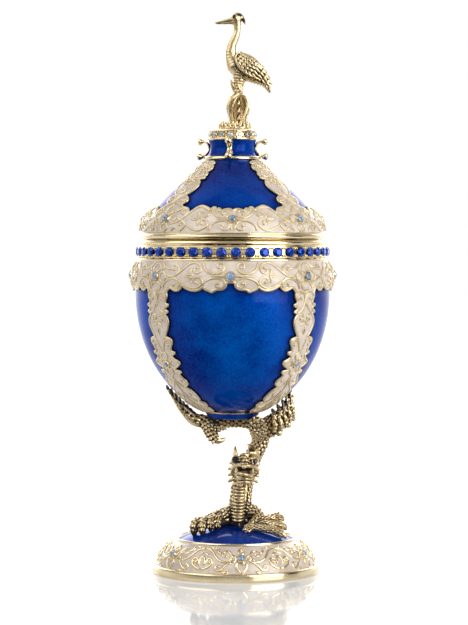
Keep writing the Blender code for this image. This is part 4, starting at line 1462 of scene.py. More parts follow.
def outward(turn):
    """The direction straight out from the axis at a turn."""
    return round_axis(turn, 1.0, 0.0)


def at(turn, radius, height):
    """A place round the egg's axis."""
    return outward(turn) * radius + (0.0, 0.0, height)


# %% [markdown]
# ## The belt of blue stones
#
# Forty-two stones are let into a plain gold band between two mouldings. Between two neighbours
# four bead-headed prongs grip both of them, so the belt reads as a row of square cells.

# %% Belt
BELT_STONES = 42
BELT_PHASE = math.radians(2.0)
BELT_STONE_RADIUS = 1.66
BELT_STONE_REACH = CHANNEL_RADIUS + 0.45
PRONG_REACH = CHANNEL_RADIUS + 0.25
PRONG_RADIUS = 0.42
PRONG_RISES, PRONG_SIDES = (-1.25, 1.25), (-0.42, 0.42)
belt_nodes = [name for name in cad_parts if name.startswith("belt_stone")]
cup_nodes = [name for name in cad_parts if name.startswith("cup_stone")]

stones, prongs = Stock(), Stock()
step = 2 * math.pi / BELT_STONES
for number in range(BELT_STONES):
    turn = BELT_PHASE + number * step
    place = at(turn, BELT_STONE_REACH, BELT_Z)
    set_stone(stones, place, outward(turn), BELT_STONE_RADIUS, spin=0.4 * number)
    gap = turn + step / 2
    side = outward(gap - math.pi / 2)
    for rise in PRONG_RISES:
        for way in PRONG_SIDES:
            bead(prongs, at(gap, PRONG_REACH, BELT_Z + rise) + side * way, PRONG_RADIUS)
make_piece("belt_stones", stones, stone_finish["blue_stone"], belt_nodes, smooth_angle=0.0)
make_piece("belt_prongs", prongs, bright_gold)

# %% [markdown]
# ## Accent stones
#
# Pale blue stones mark the centres of the drawing: eight on the cup's band, eight on the lid's,
# one on each strap and six on the foot. Each sits in a thin hoop of gold that is part of the
# casting, high enough to hold the girdle.

# %% Accent stones and their hoops
ACCENT_RISE = 0.35  # the upper hoop's height above the skin
ACCENT_GIRDLE = 0.12  # the girdle's height above the upper hoop
ACCENT_HOOPS = [(0.0, 0.18, 0.30), (-0.42, 0.15, 0.36)]  # height, room round the stone, thickness
CUP_STONE_LENGTH = 5.4
LID_STONE_LENGTH = 4.7
CUP_FRONT_STONE, LID_FRONT_STONE, STRAP_ROOT_STONE, SMALL_STONE = 1.3, 1.0, 1.1, 1.05

accent, hoops = Stock(), Stock()


def accent_stone(skin, turn, down, radius):
    """A pale stone in its hoops, square to the skin."""
    turn, down = np.array([turn]), np.array([down])
    normal = skin.normal(turn, down)[0]
    place = skin.place(turn, down, ACCENT_RISE)[0]
    set_stone(accent, place + ACCENT_GIRDLE * normal, normal, radius, spin=3.0 * float(turn[0]))
    for height, room, thick in ACCENT_HOOPS:
        hoop(hoops, place + height * normal, normal, radius + room, thick)


def border_stones(border, length, front_radius):
    """The eight stones of a border: four between the straps and one at the root of each strap."""
    down = float(border.down(length))
    for start in (0.0, math.pi):
        for turn in (0.0, QUARTER):
            accent_stone(border.skin, border.phase + start + turn, down, front_radius)
        for turn in (STRAP_TURN, -STRAP_TURN):
            accent_stone(border.skin, border.phase + start + turn, down, STRAP_ROOT_STONE)


border_stones(CUP_BORDER, CUP_STONE_LENGTH, CUP_FRONT_STONE)
border_stones(LID_BORDER, LID_STONE_LENGTH, LID_FRONT_STONE)
strap_turn, strap_down = (float(value) for value in CUP_BORDER.strap_place(0.0, CUP_STRAP_STONE))
for start, side in COPIES:
    accent_stone(CUP_SKIN, CUP_BORDER.phase + start + side * strap_turn, strap_down, SMALL_STONE)
for middle in foot_middles:
    accent_stone(FOOT_SKIN, middle, FOOT_STONE_DOWN, SMALL_STONE)
make_piece("accent_stones", accent, stone_finish["pale_stone"], cup_nodes, smooth_angle=0.0)
make_piece("accent_hoops", hoops, bright_gold, smooth_angle=60.0)

# %% [markdown]
# ## The collar
#
# A ring of sixteen clear stones crowns the collar, and four gold brackets clasp its waist. Each
# bracket is a strip that swells into a ball at both ends, like a dumb-bell bent to the waist.

# %% Crystal ring and brackets
CRYSTALS = 16
CRYSTAL_PHASE = math.radians(-5.2)
CRYSTAL_Z = 148.35
CRYSTAL_RADIUS, CRYSTAL_REACH = 0.82, 7.95
SEAT_RADIUS, SEAT_REACH, SEAT_THICK = 0.95, 7.75, 0.22
SEAT_BEAD, SEAT_BEAD_REACH, SEAT_BEAD_RISES = 0.38, 7.85, (-0.75, 0.75)
BRACKETS = 4
BRACKET_PHASE = math.radians(-7.0)
BRACKET_LINE = [  # reach, height, thickness, half width
    (12, 146.1, 0.3, 0.3), (11.7, 146.1, 0.9, 0.9), (11, 146.1, 1.25, 1.25), (10.2, 146.1, 0.8, 0.85),
    (9.6, 146.05, 0.5, 0.95), (8.6, 145.6, 0.5, 1.25), (8.1, 144.8, 0.5, 1), (7.95, 143.9, 0.45, 0.85),
    (8.1, 143, 0.5, 1), (8.8, 142, 0.5, 1.3), (9.7, 141.4, 0.5, 1), (10.4, 141.15, 0.8, 0.85),
    (11.3, 141.1, 1.25, 1.25), (12, 141.1, 0.9, 0.9), (12.3, 141.1, 0.3, 0.3),
]

crystals, seats = Stock(), Stock()
for number in range(CRYSTALS):
    turn = CRYSTAL_PHASE + 2 * math.pi * number / CRYSTALS
    out = outward(turn)
    set_stone(crystals, at(turn, CRYSTAL_REACH, CRYSTAL_Z), out, CRYSTAL_RADIUS, spin=0.7 * number)
    hoop(seats, at(turn, SEAT_REACH, CRYSTAL_Z), out, SEAT_RADIUS, SEAT_THICK, steps=14)
    for rise in SEAT_BEAD_RISES:
        bead(seats, at(turn + math.pi / CRYSTALS, SEAT_BEAD_REACH, CRYSTAL_Z + rise), SEAT_BEAD)
make_piece("crystal_ring", crystals, stone_finish["clear_stone"], smooth_angle=0.0)
make_piece("crystal_seats", seats, bright_gold, smooth_angle=60.0)


def bracket(stock, turn, sides=12):
    """One bracket: an oval section carried along its line in the upright plane at a turn."""
    line = smooth_path(BRACKET_LINE, 3)
    reach, height, thick, half = line.T[:, :, None]
    along = unit(np.gradient(line[:, :2], axis=0))
    out, up, side = outward(turn), np.array([0.0, 0.0, 1.0]), outward(turn + math.pi / 2)
    ring = ring_turns(sides)[:, None]
    centre = reach * out + height * up
    square = along[:, 1:] * out - along[:, :1] * up
    grid = centre[:, None] + half[:, None] * np.cos(ring) * side
    grid = grid + thick[:, None] * np.sin(ring) * square[:, None]
    stock.add(grid, tube_faces(len(line), sides))


stock = Stock()
for turn in ring_turns(BRACKETS):
    bracket(stock, BRACKET_PHASE + turn)
make_piece("collar_brackets", stock, bright_gold, smooth_angle=60.0)

# %% [markdown]
# ## Modelling a cast figure
#
# The dragon and the crane are cast sculpture, all scales, feathers and folds. A sculptor in wax
# lays on small pellets and blends them. The same is done here: limbs are swept through a few
# stations, coats of scales are laid over them, and then everything is fused into one skin by a
# voxel remesh, a grid of small cells that keeps only what is outside. It needs closed shapes and
# does not care how they overlap, which a boolean would.

# %% Limbs and coats
UPWARDS = (0.0, 0.0, 1.0)
BACKWARDS = (0.0, 1.0, 0.0)
THINNEST = 0.05  # no limb tapers to less than this


def limb_frame(path, up):
    """Directions along, across and through a limb at each step of its path."""
    along = unit(np.gradient(path[:, :3], axis=0))
    across = unit(np.cross(along, up))
    return along, across, np.cross(across, along)


def limb(stock, stations, depth=1.0, up=BACKWARDS, sides=12, steps=4):
    """A closed tapering limb through (x, y, z, radius) stations. Depth squeezes it along up."""
    path = smooth_path(stations, steps)
    _, across, through = limb_frame(path, up)
    ring = ring_turns(sides)[:, None]
    offset = across[:, None] * np.cos(ring) + through[:, None] * (depth * np.sin(ring))
    grid = path[:, None, :3] + np.maximum(path[:, 3], THINNEST)[:, None, None] * offset
    stock.add(grid, tube_faces(len(path), sides))


def mirror_y(stations, middle=0.0):
    """The same limb on the other side of an upright plane that runs from left to right."""
    return [(x, 2 * middle - y, z, radius) for x, y, z, radius in stations]


PEBBLE = ball_parts(segments=8)
LEAF_POINTS = PEBBLE[0].copy()
LEAF_POINTS[:, 1] *= 1.0 - 0.35 * np.clip(LEAF_POINTS[:, 0], 0.0, 1.0)  # narrower at its free end


def scale(stock, place, along, out, size, lift):
    """One scale: a flattened pebble that lies on a surface with its free end lifted."""
    along, out = unit(np.asarray(along, float)), unit(np.asarray(out, float))
    length, width, thick = (0.5 * side for side in size)
    forward = along * math.cos(lift) + out * math.sin(lift)
    raised_out = out * math.cos(lift) - along * math.sin(lift)
    side = np.cross(forward, raised_out)
    points = LEAF_POINTS @ np.stack([length * forward, width * side, thick * raised_out])
    stock.add(np.asarray(place) + points, PEBBLE[1])


def coat(stock, stations, pitch, size, lift=0.5, flip=1, depth=1.0, crowd=1.0, sink=0.1, bare=None):
    """Covers a limb with staggered rings of scales.

    Pitch is the step from ring to ring, and crowd is the step round a ring as a share of a scale's
    width. Flip -1 turns the free ends to the limb's start. Sink sets the scales into the limb. Bare
    is a direction and a limit: the side that faces that way more than the limit stays smooth.
    """
    path = even_path(stations, pitch, axes=3)
    along, across, through = limb_frame(path, BACKWARDS)
    for row, (centre, ahead, right, front) in enumerate(zip(path, along, across, through)):
        radius = centre[3]
        count = max(4, int(round(2 * math.pi * radius / (crowd * size[1]))))
        for number in range(count):
            turn = 2 * math.pi * (number + 0.5 * (row % 2)) / count
            offset = right * math.cos(turn) + front * depth * math.sin(turn)
            out = right * math.cos(turn) + front * math.sin(turn) / depth
            if bare is not None and np.dot(unit(out), bare[0]) > bare[1]:
                continue
            scale(stock, centre[:3] + (radius - sink) * offset, flip * ahead, out, size, lift)


def pellet(stock, place, radius, stretch=(1.0, 1.0, 1.0)):
    stock.add(np.asarray(place) + PEBBLE[0] * radius * np.asarray(stretch), PEBBLE[1])


# %% [markdown]
# ## Fusing, and finding the hollows
#
# After the fuse a few rounds of smoothing take away the grid's steps. Then the mesh is compared
# with a much smoother copy of itself: where the real skin lies below the smooth one, it is a
# hollow, and dark wax would stay there. That difference is kept on the mesh for the finish. Painted
# shade is added to it where a figure meets the underside of the egg, and a few pools that are named
# by place add more, some of them wax and the rest painted shade. A figure of more than 190,000
# triangles is thinned where it is flat, since more would only make it slow.

# %% Fusing
NEUTRAL = 0.40  # the value of flat metal, with no wax or painted shade
FINE_GAIN = 8.0  # wax value for each millimetre below the smooth copy
BROAD_GAIN = 1.2  # the same for wide hollows, against a still smoother copy
EGG_SHADE = 0.38  # painted shade where a figure meets the underside of the egg
EGG_SHADE_START, EGG_SHADE_REACH = 0.3, 1.9
MOST_TRIANGLES = 190000
EGG_CENTRE = np.array([0.0, 0.0, EGG_WAIST_Z])
FAR_AWAY = 1e3


def smoothed(points, ends, share, rounds):
    """Moves every point some way towards the mean of its neighbours, several times."""
    count = len(points)
    neighbours = np.maximum(np.bincount(ends.ravel(), minlength=count), 1)[:, None]
    for _ in range(rounds):
        total = np.zeros_like(points)
        for axis in range(3):
            total[:, axis] = np.bincount(ends[:, 0], points[ends[:, 1], axis], count)
            total[:, axis] += np.bincount(ends[:, 1], points[ends[:, 0], axis], count)
        points = points + share * (total / neighbours - points)
    return points


def modified(name, mesh, kind, **settings):
    """What one modifier makes of a mesh."""
    rough = bpy.data.objects.new(name + "_rough", mesh)
    bpy.context.collection.objects.link(rough)
    modifier = rough.modifiers.new("step", kind)
    for label, value in settings.items():
        setattr(modifier, label, value)
    made = bpy.data.meshes.new_from_object(rough.evaluated_get(bpy.context.evaluated_depsgraph_get()))
    bpy.data.objects.remove(rough)
    return made


def read_rows(collection, label, width, kind=np.float64):
    """One named property of every point or edge of a mesh."""
    values = np.empty(len(collection) * width, kind)
    collection.foreach_get(label, values)
    return values.reshape(-1, width)


def egg_distance(points):
    """Roughly how far points are from the bowl of the egg, and far away for those above it."""
    reach = np.linalg.norm((points - EGG_CENTRE) / (EGG_RADIUS, EGG_RADIUS, EGG_DEPTH), axis=1)
    return np.where(points[:, 2] < EGG_WAIST_Z, (reach - 1.0) * EGG_RADIUS, FAR_AWAY)


def fused(name, stock, voxel, keep_clear, wax_and_shade_pools, rounds=2, more_wax=None, neutral=NEUTRAL):
    """One skin from a stock of overlapping parts, carved clear of its neighbours, with its hollows and
    painted shade.
    """
    rough = shape_to_mesh(name + "_rough", stock)
    mesh = modified(name, rough, "REMESH", mode="VOXEL", voxel_size=voxel * MM)
    mesh.name = name
    points = read_rows(mesh.vertices, "co", 3) / MM
    ends = read_rows(mesh.edges, "vertices", 2, np.int32)
    points = keep_clear(smoothed(points, ends, 0.5, rounds))
    mesh.vertices.foreach_set("co", (points * MM).astype(np.float32).ravel())
    mesh.update()
    normals = read_rows(mesh.vertices, "normal", 3)
    fine = smoothed(points, ends, 0.6, 8)
    broad = smoothed(fine, ends, 0.6, 60)
    wax_and_shade = neutral + FINE_GAIN * np.sum((fine - points) * normals, axis=1)
    wax_and_shade += BROAD_GAIN * np.sum((broad - fine) * normals, axis=1)
    # Painted shade on the figure just under the egg.
    wax_and_shade += EGG_SHADE * np.clip(1.0 - (egg_distance(points) - EGG_SHADE_START) / EGG_SHADE_REACH, 0.0, 1.0)
    # Pools of wax, and of painted shade, named by place.
    for centre, reach, strength in wax_and_shade_pools:
        away = np.linalg.norm((points - np.array(centre)) / np.array(reach), axis=1)
        wax_and_shade += strength * np.clip(2.0 - 2.0 * away, 0.0, 1.0)
    if more_wax:
        wax_and_shade += more_wax(points)
    keep_values(mesh, "wax_and_shade", wax_and_shade)
    triangles = 2 * len(mesh.polygons)
    if triangles > MOST_TRIANGLES:
        mesh = modified(name, mesh, "DECIMATE", ratio=MOST_TRIANGLES / triangles)
    return mesh


def cast_figure(name, mesh, node):
    """A figure as a piece in old gold, shaded smooth all over."""
    make_piece(name, mesh, old_gold, [node], smooth_angle=0.0).data.shade_smooth()


CLEARANCE = 0.12
CUP_RING_TOP_Z, CUP_RING_LOW_Z = 54.5, 52.2
CUP_UNDERSIDE = [(0.0, 52.1), (7.6, 52.2), (9.0, 53.6), (10.2, 54.2)]  # radius, height
FOOT_REACH_Z = 40.0  # only what is lower than this can touch the foot


def clear_of_body(points):
    """Moves points that would run into the egg or the foot out to a hair's breadth from them."""
    points = points.copy()
    deep, wide = EGG_DEPTH + CLEARANCE, EGG_RADIUS + CLEARANCE
    reach = np.linalg.norm((points - EGG_CENTRE) / (wide, wide, deep), axis=1)
    into_egg = (reach < 1.0) & (points[:, 2] > CUP_RING_TOP_Z)
    points[into_egg] = EGG_CENTRE + (points[into_egg] - EGG_CENTRE) / reach[into_egg, None]
    radius = np.hypot(points[:, 0], points[:, 1])
    under_ring = (radius < CUP_UNDERSIDE[-1][0]) & (points[:, 2] > CUP_RING_LOW_Z - CLEARANCE)
    floor_of_cup = np.interp(radius, *zip(*CUP_UNDERSIDE)) - CLEARANCE
    points[under_ring, 2] = np.minimum(points[under_ring, 2], floor_of_cup[under_ring])
    dome = dome_height(np.hypot(points[:, 0] - FOOT_X, points[:, 1])) + CLEARANCE
    low = points[:, 2] < FOOT_REACH_Z
    points[low, 2] = np.maximum(points[low, 2], dome[low])
    return points

# %% [markdown]
# ## The dragon
#
# The dragon is the stem. Its neck rises from the foot behind a chest of rounded plates, its body
# bends to the right behind the head, runs level under the egg and ends in a long leaf-shaped limb
# that follows the egg up to the left. A haunch with hanging locks carries the egg on the right,
# and a hip comes forward there, under the egg. The left foreleg has a web behind its claws, and
# the right one spreads its toes over the dome. Stations are (x, y, z, radius) in millimetres,
# with -y to the front.

# %% Dragon stations
TRUNK = [
    (2.3, 0.2, 15.2, 3.8), (2.5, 0.6, 20.5, 3.7), (2.9, 1.4, 26, 3.4), (4.3, 3.2, 33, 3.1),
    (7.4, 3.8, 39.6, 2.6), (9.5, 3.2, 44, 2.6), (9.4, 2.2, 47.8, 2.9), (6.8, 1.3, 50.4, 2.3),
    (3, 0.9, 50.9, 1.6), (-1, 0.6, 50.9, 1.6), (-4, 0.5, 50.9, 1.7), (-7, 0.4, 51, 1.8),
]
TAIL = [
    (-6, 0.4, 51, 1.8), (-9.5, 0, 51, 2.2), (-13, 0, 51.7, 2.1), (-15.7, 0, 54.2, 1.8),
    (-17.9, 0, 56.8, 1.45), (-20.1, 0.2, 59.8, 0.95), (-22.2, 0.3, 62.4, 0.3),
]
CHEST = [(2.6, -2.7, 31, 1.7), (2.3, -3, 28, 1.85), (2, -3.1, 23, 1.9), (1.8, -2.9, 17.8, 1.8)]
HAUNCH = [
    (8.5, 2.2, 47.8, 3), (12.3, 1.2, 49, 3.3), (15.8, 0.4, 51.4, 3), (18, 0.2, 54.4, 2),
    (18.9, 0.2, 57.8, 1.4), (19.7, 0.3, 61.2, 0.5),
]
HIP = [  # laid round the front of the cup's ring
    (8.9, -0.5, 47.4, 2.7), (8.5, -4.6, 49.3, 2.6), (8.1, -7.8, 50.8, 2.3), (8, -9.2, 52, 1.5),
    (8.1, -9.6, 52.8, 0.8),
]
HIND_CLAW = [
    (-8.6, -1.4, 50.2, 2.1), (-7.4, -2.4, 48, 2), (-6.8, -2.9, 46.3, 1.7), (-5.8, -3.1, 45.1, 1.35),
    (-4.4, -3.2, 44.8, 1.05), (-3, -3.2, 45.3, 0.65), (-2.2, -3.2, 46, 0.2),
]
HIND_THUMB = [
    (-6.6, -2.2, 49.3, 1.4), (-5, -2.9, 49, 1.1), (-3.6, -3.1, 49.3, 0.8), (-2.5, -3, 49, 0.5),
    (-2, -2.9, 48.4, 0.2),
]
HIND_SPUR = [(-6.2, -2.6, 47, 0.9), (-5, -3, 46.6, 0.6), (-4.2, -3.1, 46.9, 0.2)]
LEFT_FORELEG = [
    (-0.2, -0.5, 20.4, 2.1), (-4, -1.8, 19.4, 1.8), (-7.6, -3.4, 18.4, 1.4), (-10.6, -4.8, 17.8, 1.2),
]
LEFT_WEB = [(-0.5, -1, 17.6, 1.9), (-3.6, -2.4, 17, 1.6), (-6.6, -3.8, 16.4, 1.3)]
LEFT_CLAWS = [
    [(-9.6, -4.4, 17.9, 1.1), (-12, -5.8, 17.6, 1.3), (-13, -6.6, 16.6, 1.25), (-13.1, -7, 15, 1.15),
     (-12.9, -7.1, 13.6, 1), (-12.7, -7.1, 12.8, 0.4)],
    [(-8.2, -4, 18.2, 1.1), (-9.8, -6.6, 17.8, 1.3), (-10.3, -7.5, 16.8, 1.25), (-10.3, -7.9, 15.2, 1.15),
     (-10.1, -8, 13.9, 1), (-10, -8, 13.1, 0.4)],
    [(-5.8, -3.2, 18.8, 1.1), (-7.2, -6, 18.6, 1.25), (-7.6, -7, 17.6, 1.15), (-7.6, -7.5, 16.2, 0.95),
     (-7.4, -7.6, 15, 0.75), (-7.2, -7.6, 14.2, 0.3)],
    [(-4, -2.6, 19.2, 1.1), (-4.9, -5, 18.6, 1.1), (-5.2, -6, 17.6, 0.95), (-5.1, -6.4, 16.4, 0.8),
     (-4.9, -6.5, 15.3, 0.6), (-4.7, -6.5, 14.6, 0.25)],
]
RIGHT_FORELEG = [
    (4.8, -0.5, 21, 2.4), (7.4, -1.2, 20.2, 2.2), (8.8, -2.6, 19, 1.8), (7.6, -6, 17.4, 1.5),
    (6.2, -8, 16.2, 1.3),
]
RIGHT_TOES = [
    [(7.6, -5.4, 17, 1.1), (10.4, -4.4, 17.9, 1.2), (13.2, -3.4, 18.6, 1.15), (15.4, -2.8, 18.9, 1.4),
     (16.7, -2.4, 18.3, 1.1), (17.3, -2.2, 17.3, 0.4)],
    [(7.2, -6.8, 16.5, 1.1), (10.6, -6.4, 16.9, 1.2), (13.8, -6, 16.7, 1.15), (16.2, -5.6, 16.5, 1.4),
     (17.6, -5.4, 15.7, 1.1), (18.1, -5.3, 14.7, 0.4)],
    [(6.8, -8, 16, 1.1), (10.4, -8.6, 15.7, 1.15), (13.8, -9, 14.9, 1.1), (16.2, -9.4, 14.1, 1.3),
     (17.6, -9.6, 13.3, 1), (18.1, -9.7, 12.4, 0.4)],
    [(6.8, -7.8, 16.2, 1.1), (5.4, -9.2, 16, 1.2), (4.7, -10, 15.3, 0.9), (4.6, -10.4, 14.3, 0.3)],
]
LOCKS = [  # the hanging locks of the haunch, from the egg downwards
    [(13.6, -1.2, 55, 0.5), (14.4, -2.6, 53.2, 0.8), (14, -3.2, 51.6, 0.7), (14.6, -3.2, 50, 0.85),
     (14.2, -2.9, 48.2, 0.7)],
    [(15.4, -1.2, 56.4, 0.5), (16.2, -2.4, 54.4, 0.8), (15.8, -3, 52.6, 0.7), (16.5, -3.2, 50.6, 0.9),
     (16.2, -2.8, 48.8, 0.8)],
    [(17, -0.9, 58, 0.45), (17.7, -2, 55.8, 0.75), (17.4, -2.6, 53.8, 0.65), (18.2, -2.8, 51.8, 0.8),
     (18, -2.4, 50.2, 0.7)],
    [(18.3, -0.8, 59.8, 0.4), (18.9, -1.4, 57.6, 0.75), (18.9, -2, 55.4, 0.65), (19.6, -2.2, 53.2, 0.8),
     (19.4, -1.8, 51.6, 0.6)],
    [(19.6, -0.3, 62, 0.35), (20, -0.6, 60, 0.75), (19.9, -1, 57.8, 0.65), (20.5, -1.2, 55.4, 0.75),
     (20.6, -1, 53.2, 0.7), (20.9, -0.8, 51.8, 0.4)],
]
HORNS = [
    [(0.95, -4.6, 39.6, 1.05), (0.9, -4.2, 41.2, 0.75), (0.9, -3.8, 42.4, 0.45), (0.95, -3.6, 43.4, 0.12)],
    [(7.5, -4.6, 40.4, 1.5), (6.8, -4.5, 41.8, 1.3), (5.8, -4.4, 43, 0.8), (4.9, -4.3, 43.9, 0.15)],
]

# %% [markdown]
# ## The dragon's head
#
# The head looks at the front with its mouth wide open. It is built up as a modeller would: a
# skull, a muzzle, then rolls of wax for the brows, the lips and the jaw lines, with the mouth
# left empty between them. Rows of spikes frame the cheeks and two tufts hang under the chin.

# %% Dragon head stations
MUZZLE = [(4.3, -3, 38.2, 2.9), (4.1, -6, 37.9, 2), (3.9, -8, 37.5, 1.45), (3.8, -9.2, 37.2, 0.9)]
JAW = [(4.2, -1.6, 32.2, 2.9), (4, -4.6, 32.2, 2.5), (3.8, -6.8, 32.7, 1.7), (3.7, -8, 33, 0.9)]
ROLLS = [
    [(2.5, -5.4, 39.6, 0.4), (3.2, -6.4, 40.5, 0.55), (4.2, -6.6, 40.6, 0.55), (5, -6.6, 39.9, 0.5),
     (5.1, -6.9, 39.1, 0.35)],
    [(4.8, -6.4, 40, 0.4), (5.8, -6.2, 40.9, 0.6), (7.2, -5.6, 40.8, 0.65), (8.4, -4.6, 39.9, 0.6),
     (9, -3.6, 38.6, 0.4)],
    [(5.3, -6.8, 38.6, 0.35), (6, -6.9, 39.2, 0.45), (6.9, -6.5, 39.1, 0.4)],
    [(-0.4, -4, 33.2, 0.5), (-0.2, -5, 34.8, 0.6), (0.6, -6.2, 36.3, 0.7), (2, -7.6, 37.1, 0.75),
     (3.6, -8.8, 37, 0.7), (5.4, -8.2, 36.8, 0.75), (7.2, -6.6, 36.4, 0.7), (8.4, -5, 35.2, 0.6),
     (8.7, -3.8, 33.6, 0.5)],
    [(0.6, -4.6, 33.6, 0.4), (1.6, -6.4, 33.9, 0.55), (2.8, -7.8, 34.1, 0.65), (4.2, -8.2, 33.8, 0.65),
     (5.8, -7.2, 33.6, 0.55), (7.4, -5.2, 33.9, 0.4)],
    [(0.3, -4.4, 32.4, 0.4), (1.4, -6, 32.2, 0.5), (3, -7.4, 32.4, 0.55), (4.6, -7.4, 32.3, 0.55),
     (6.2, -6.2, 32.2, 0.5), (7.6, -4.4, 32.6, 0.4)],
    [(1.2, -4.8, 30.9, 0.4), (2.6, -6.2, 31.1, 0.5), (4.2, -6.8, 31.2, 0.55), (5.8, -6, 31.1, 0.5),
     (7, -4.4, 31.4, 0.4)],
    [(4.5, -6.6, 31.6, 0.45), (4.4, -6.6, 30.6, 0.5), (4.4, -6.1, 29.4, 0.2)],
    [(5.5, -6.2, 31.6, 0.45), (5.5, -6.2, 30.6, 0.5), (5.5, -5.6, 29.4, 0.2)],
    [(2.6, -7.6, 34.4, 0.4), (3.6, -7.6, 34.5, 0.6), (4.8, -7.2, 34.3, 0.5)],
    [(2.8, -6.4, 39.3, 0.45), (3.7, -7.3, 39.7, 0.6), (4.8, -7.2, 39.2, 0.5)],
    [(3.2, -7.4, 38.3, 0.5), (4.3, -8.1, 38.7, 0.6), (5.5, -7.5, 38.3, 0.5)],
]
KNOBS = [  # place, radius
    ((3.9, -9.3, 36.6), 0.8), ((3, -9, 37.6), 0.5), ((4.8, -9, 37.6), 0.5), ((0.2, -4.9, 32), 0.6),
    ((2.7, -6.9, 38.2), 0.45), ((5.6, -7.2, 38), 0.4), ((8.5, -4.6, 36.6), 0.6), ((8.4, -4, 33), 0.6),
]
EYES = [  # place, facing, stone radius
    ((1.15, -6.5, 38.6), (-0.28, -1, 0.05), 1.2), ((7.7, -5.7, 38.1), (0.62, -1, 0.05), 0.95),
]
SPIKES = [
    [(1, -3, 37.3, 0.9), (-0.3, -2.8, 37.3, 0.75), (-1.1, -2.6, 37, 0.35)],
    [(0.8, -3.2, 35.6, 0.9), (-0.8, -3, 35.4, 0.7), (-1.5, -2.8, 34.9, 0.3)],
    [(0.8, -3.2, 33.8, 0.9), (-0.8, -3, 33.4, 0.7), (-1.5, -2.8, 32.8, 0.3)],
    [(0.8, -3.2, 32, 0.9), (-0.7, -3, 31.4, 0.7), (-1.5, -2.8, 30.6, 0.3)],
    [(1.2, -3, 30.2, 0.8), (0.1, -2.8, 29.4, 0.6), (-0.6, -2.6, 28.4, 0.25)],
    [(7.4, -2.8, 36.9, 0.9), (8.7, -2.6, 36.9, 0.7), (9.3, -2.4, 36.5, 0.3)],
    [(7.4, -2.8, 35.2, 0.9), (8.6, -2.6, 35, 0.7), (9.2, -2.4, 34.5, 0.3)],
    [(7.2, -2.8, 33.4, 0.9), (8.4, -2.6, 33, 0.7), (9, -2.4, 32.4, 0.3)],
    [(7, -2.8, 31.6, 0.8), (8, -2.6, 31, 0.6), (8.5, -2.4, 30.2, 0.25)],
]
DRAGON_WAX_AND_SHADE_POOLS = [  # wax in the mouth, and painted shade by the right horn, on the foot, under the left foreleg and under the egg: centre, reach, strength
    ((4.1, -4.6, 35.3), (4.6, 4.2, 1.8), 1), ((6, -5.2, 42.6), (3.2, 3.2, 2.6), 0.6),
    ((2, -2, 15.4), (8, 5.5, 2.2), 0.3), ((-12, -7.4, 13.4), (4.5, 3.4, 3), 1.2),
    ((-6.4, -7.2, 14.8), (4.6, 3.4, 2.4), 1.2), ((-3.4, -3.4, 16.2), (5.2, 3, 1.9), 1.2),
    ((-5.2, -3, 51), (3, 2.6, 2.6), 0.3), ((8.3, -9.6, 54), (3.2, 3, 2.6), 0.25),
    ((-19, 0, 60.4), (3.6, 2.6, 2), 0.18), ((15, -1, 56.4), (4.2, 2.4, 1.5), 0.25),
]
SKULL = [  # place, radius, stretch
    ((4.3, -2.4, 37.8), 3.3, (1.12, 1, 0.85)), ((4.1, -0.2, 34.4), 3, (1.2, 1, 1.3)),
]
LOCK_ROOTS = [((19, -1.6, 50.1), 1.15), ((20.5, -0.8, 52.1), 0.8), ((15.8, -1.8, 47.4), 1.3)]
LOCK_MIDDLE_Y = 0.6  # the locks are mirrored about this depth
PLATES = 11
PLATE_TOP_Z = 29.0
PLATE_STEP = 1.1
PLATE_FRONT_Y = -5.9
PLATE_TOP_X, PLATE_LEAN = 2.35, 0.55  # the middle of the top plate, and how far the last is off it
PLATE_HALF = 2.15
CHEST_WAX_X, CHEST_WAX_HALF, CHEST_WAX_BACK_Y = 2.1, 2.9, -2.0
DRAGON_VOXEL = 0.19
FRONT_SMOOTH = ((0.0, -1.0, 0.0), 0.8)  # the side without scales, behind the chest plates
UNDER_SMOOTH = ((-0.55, 0.0, -0.83), 0.5)  # the underside of the tail
BODY_SCALE = (2.1, 1.4, 0.9)  # length, width and thickness


# %% Dragon
def chest_plates(stock):
    """Rounded bars across the chest, wide at the top, each resting on the next."""
    for number in range(PLATES):
        share = number / (PLATES - 1)
        z = PLATE_TOP_Z - PLATE_STEP * number
        x = PLATE_TOP_X - PLATE_LEAN * share
        half = PLATE_HALF - 0.35 * max(0.0, share - 0.8) / 0.2
        front = PLATE_FRONT_Y + 0.15 * abs(share - 0.5)
        bar = [
            (x - half, front + 1.4, z + 0.25, 0.42), (x - 0.6 * half, front + 0.35, z, 0.55),
            (x, front, z - 0.1, 0.6),
            (x + 0.6 * half, front + 0.35, z, 0.55), (x + half, front + 1.4, z + 0.25, 0.42),
        ]
        limb(stock, bar, depth=0.72, up=UPWARDS, sides=10)


def chest_wax(points):
    """Wax behind the fronts of the chest plates, so that each one is outlined in black."""
    low, high = PLATE_TOP_Z - PLATE_STEP * PLATES, PLATE_TOP_Z + 0.5 * PLATE_STEP
    off_middle = np.abs(points[:, 0] - CHEST_WAX_X)
    curve = PLATE_FRONT_Y - 0.25 + 0.32 * off_middle**2
    inside = (points[:, 2] > low) & (points[:, 2] < high)
    inside &= (off_middle < CHEST_WAX_HALF) & (points[:, 1] < CHEST_WAX_BACK_Y)
    return np.where(inside, 0.6 * np.clip((points[:, 1] - curve) / 0.5, 0.0, 1.0), 0.0)


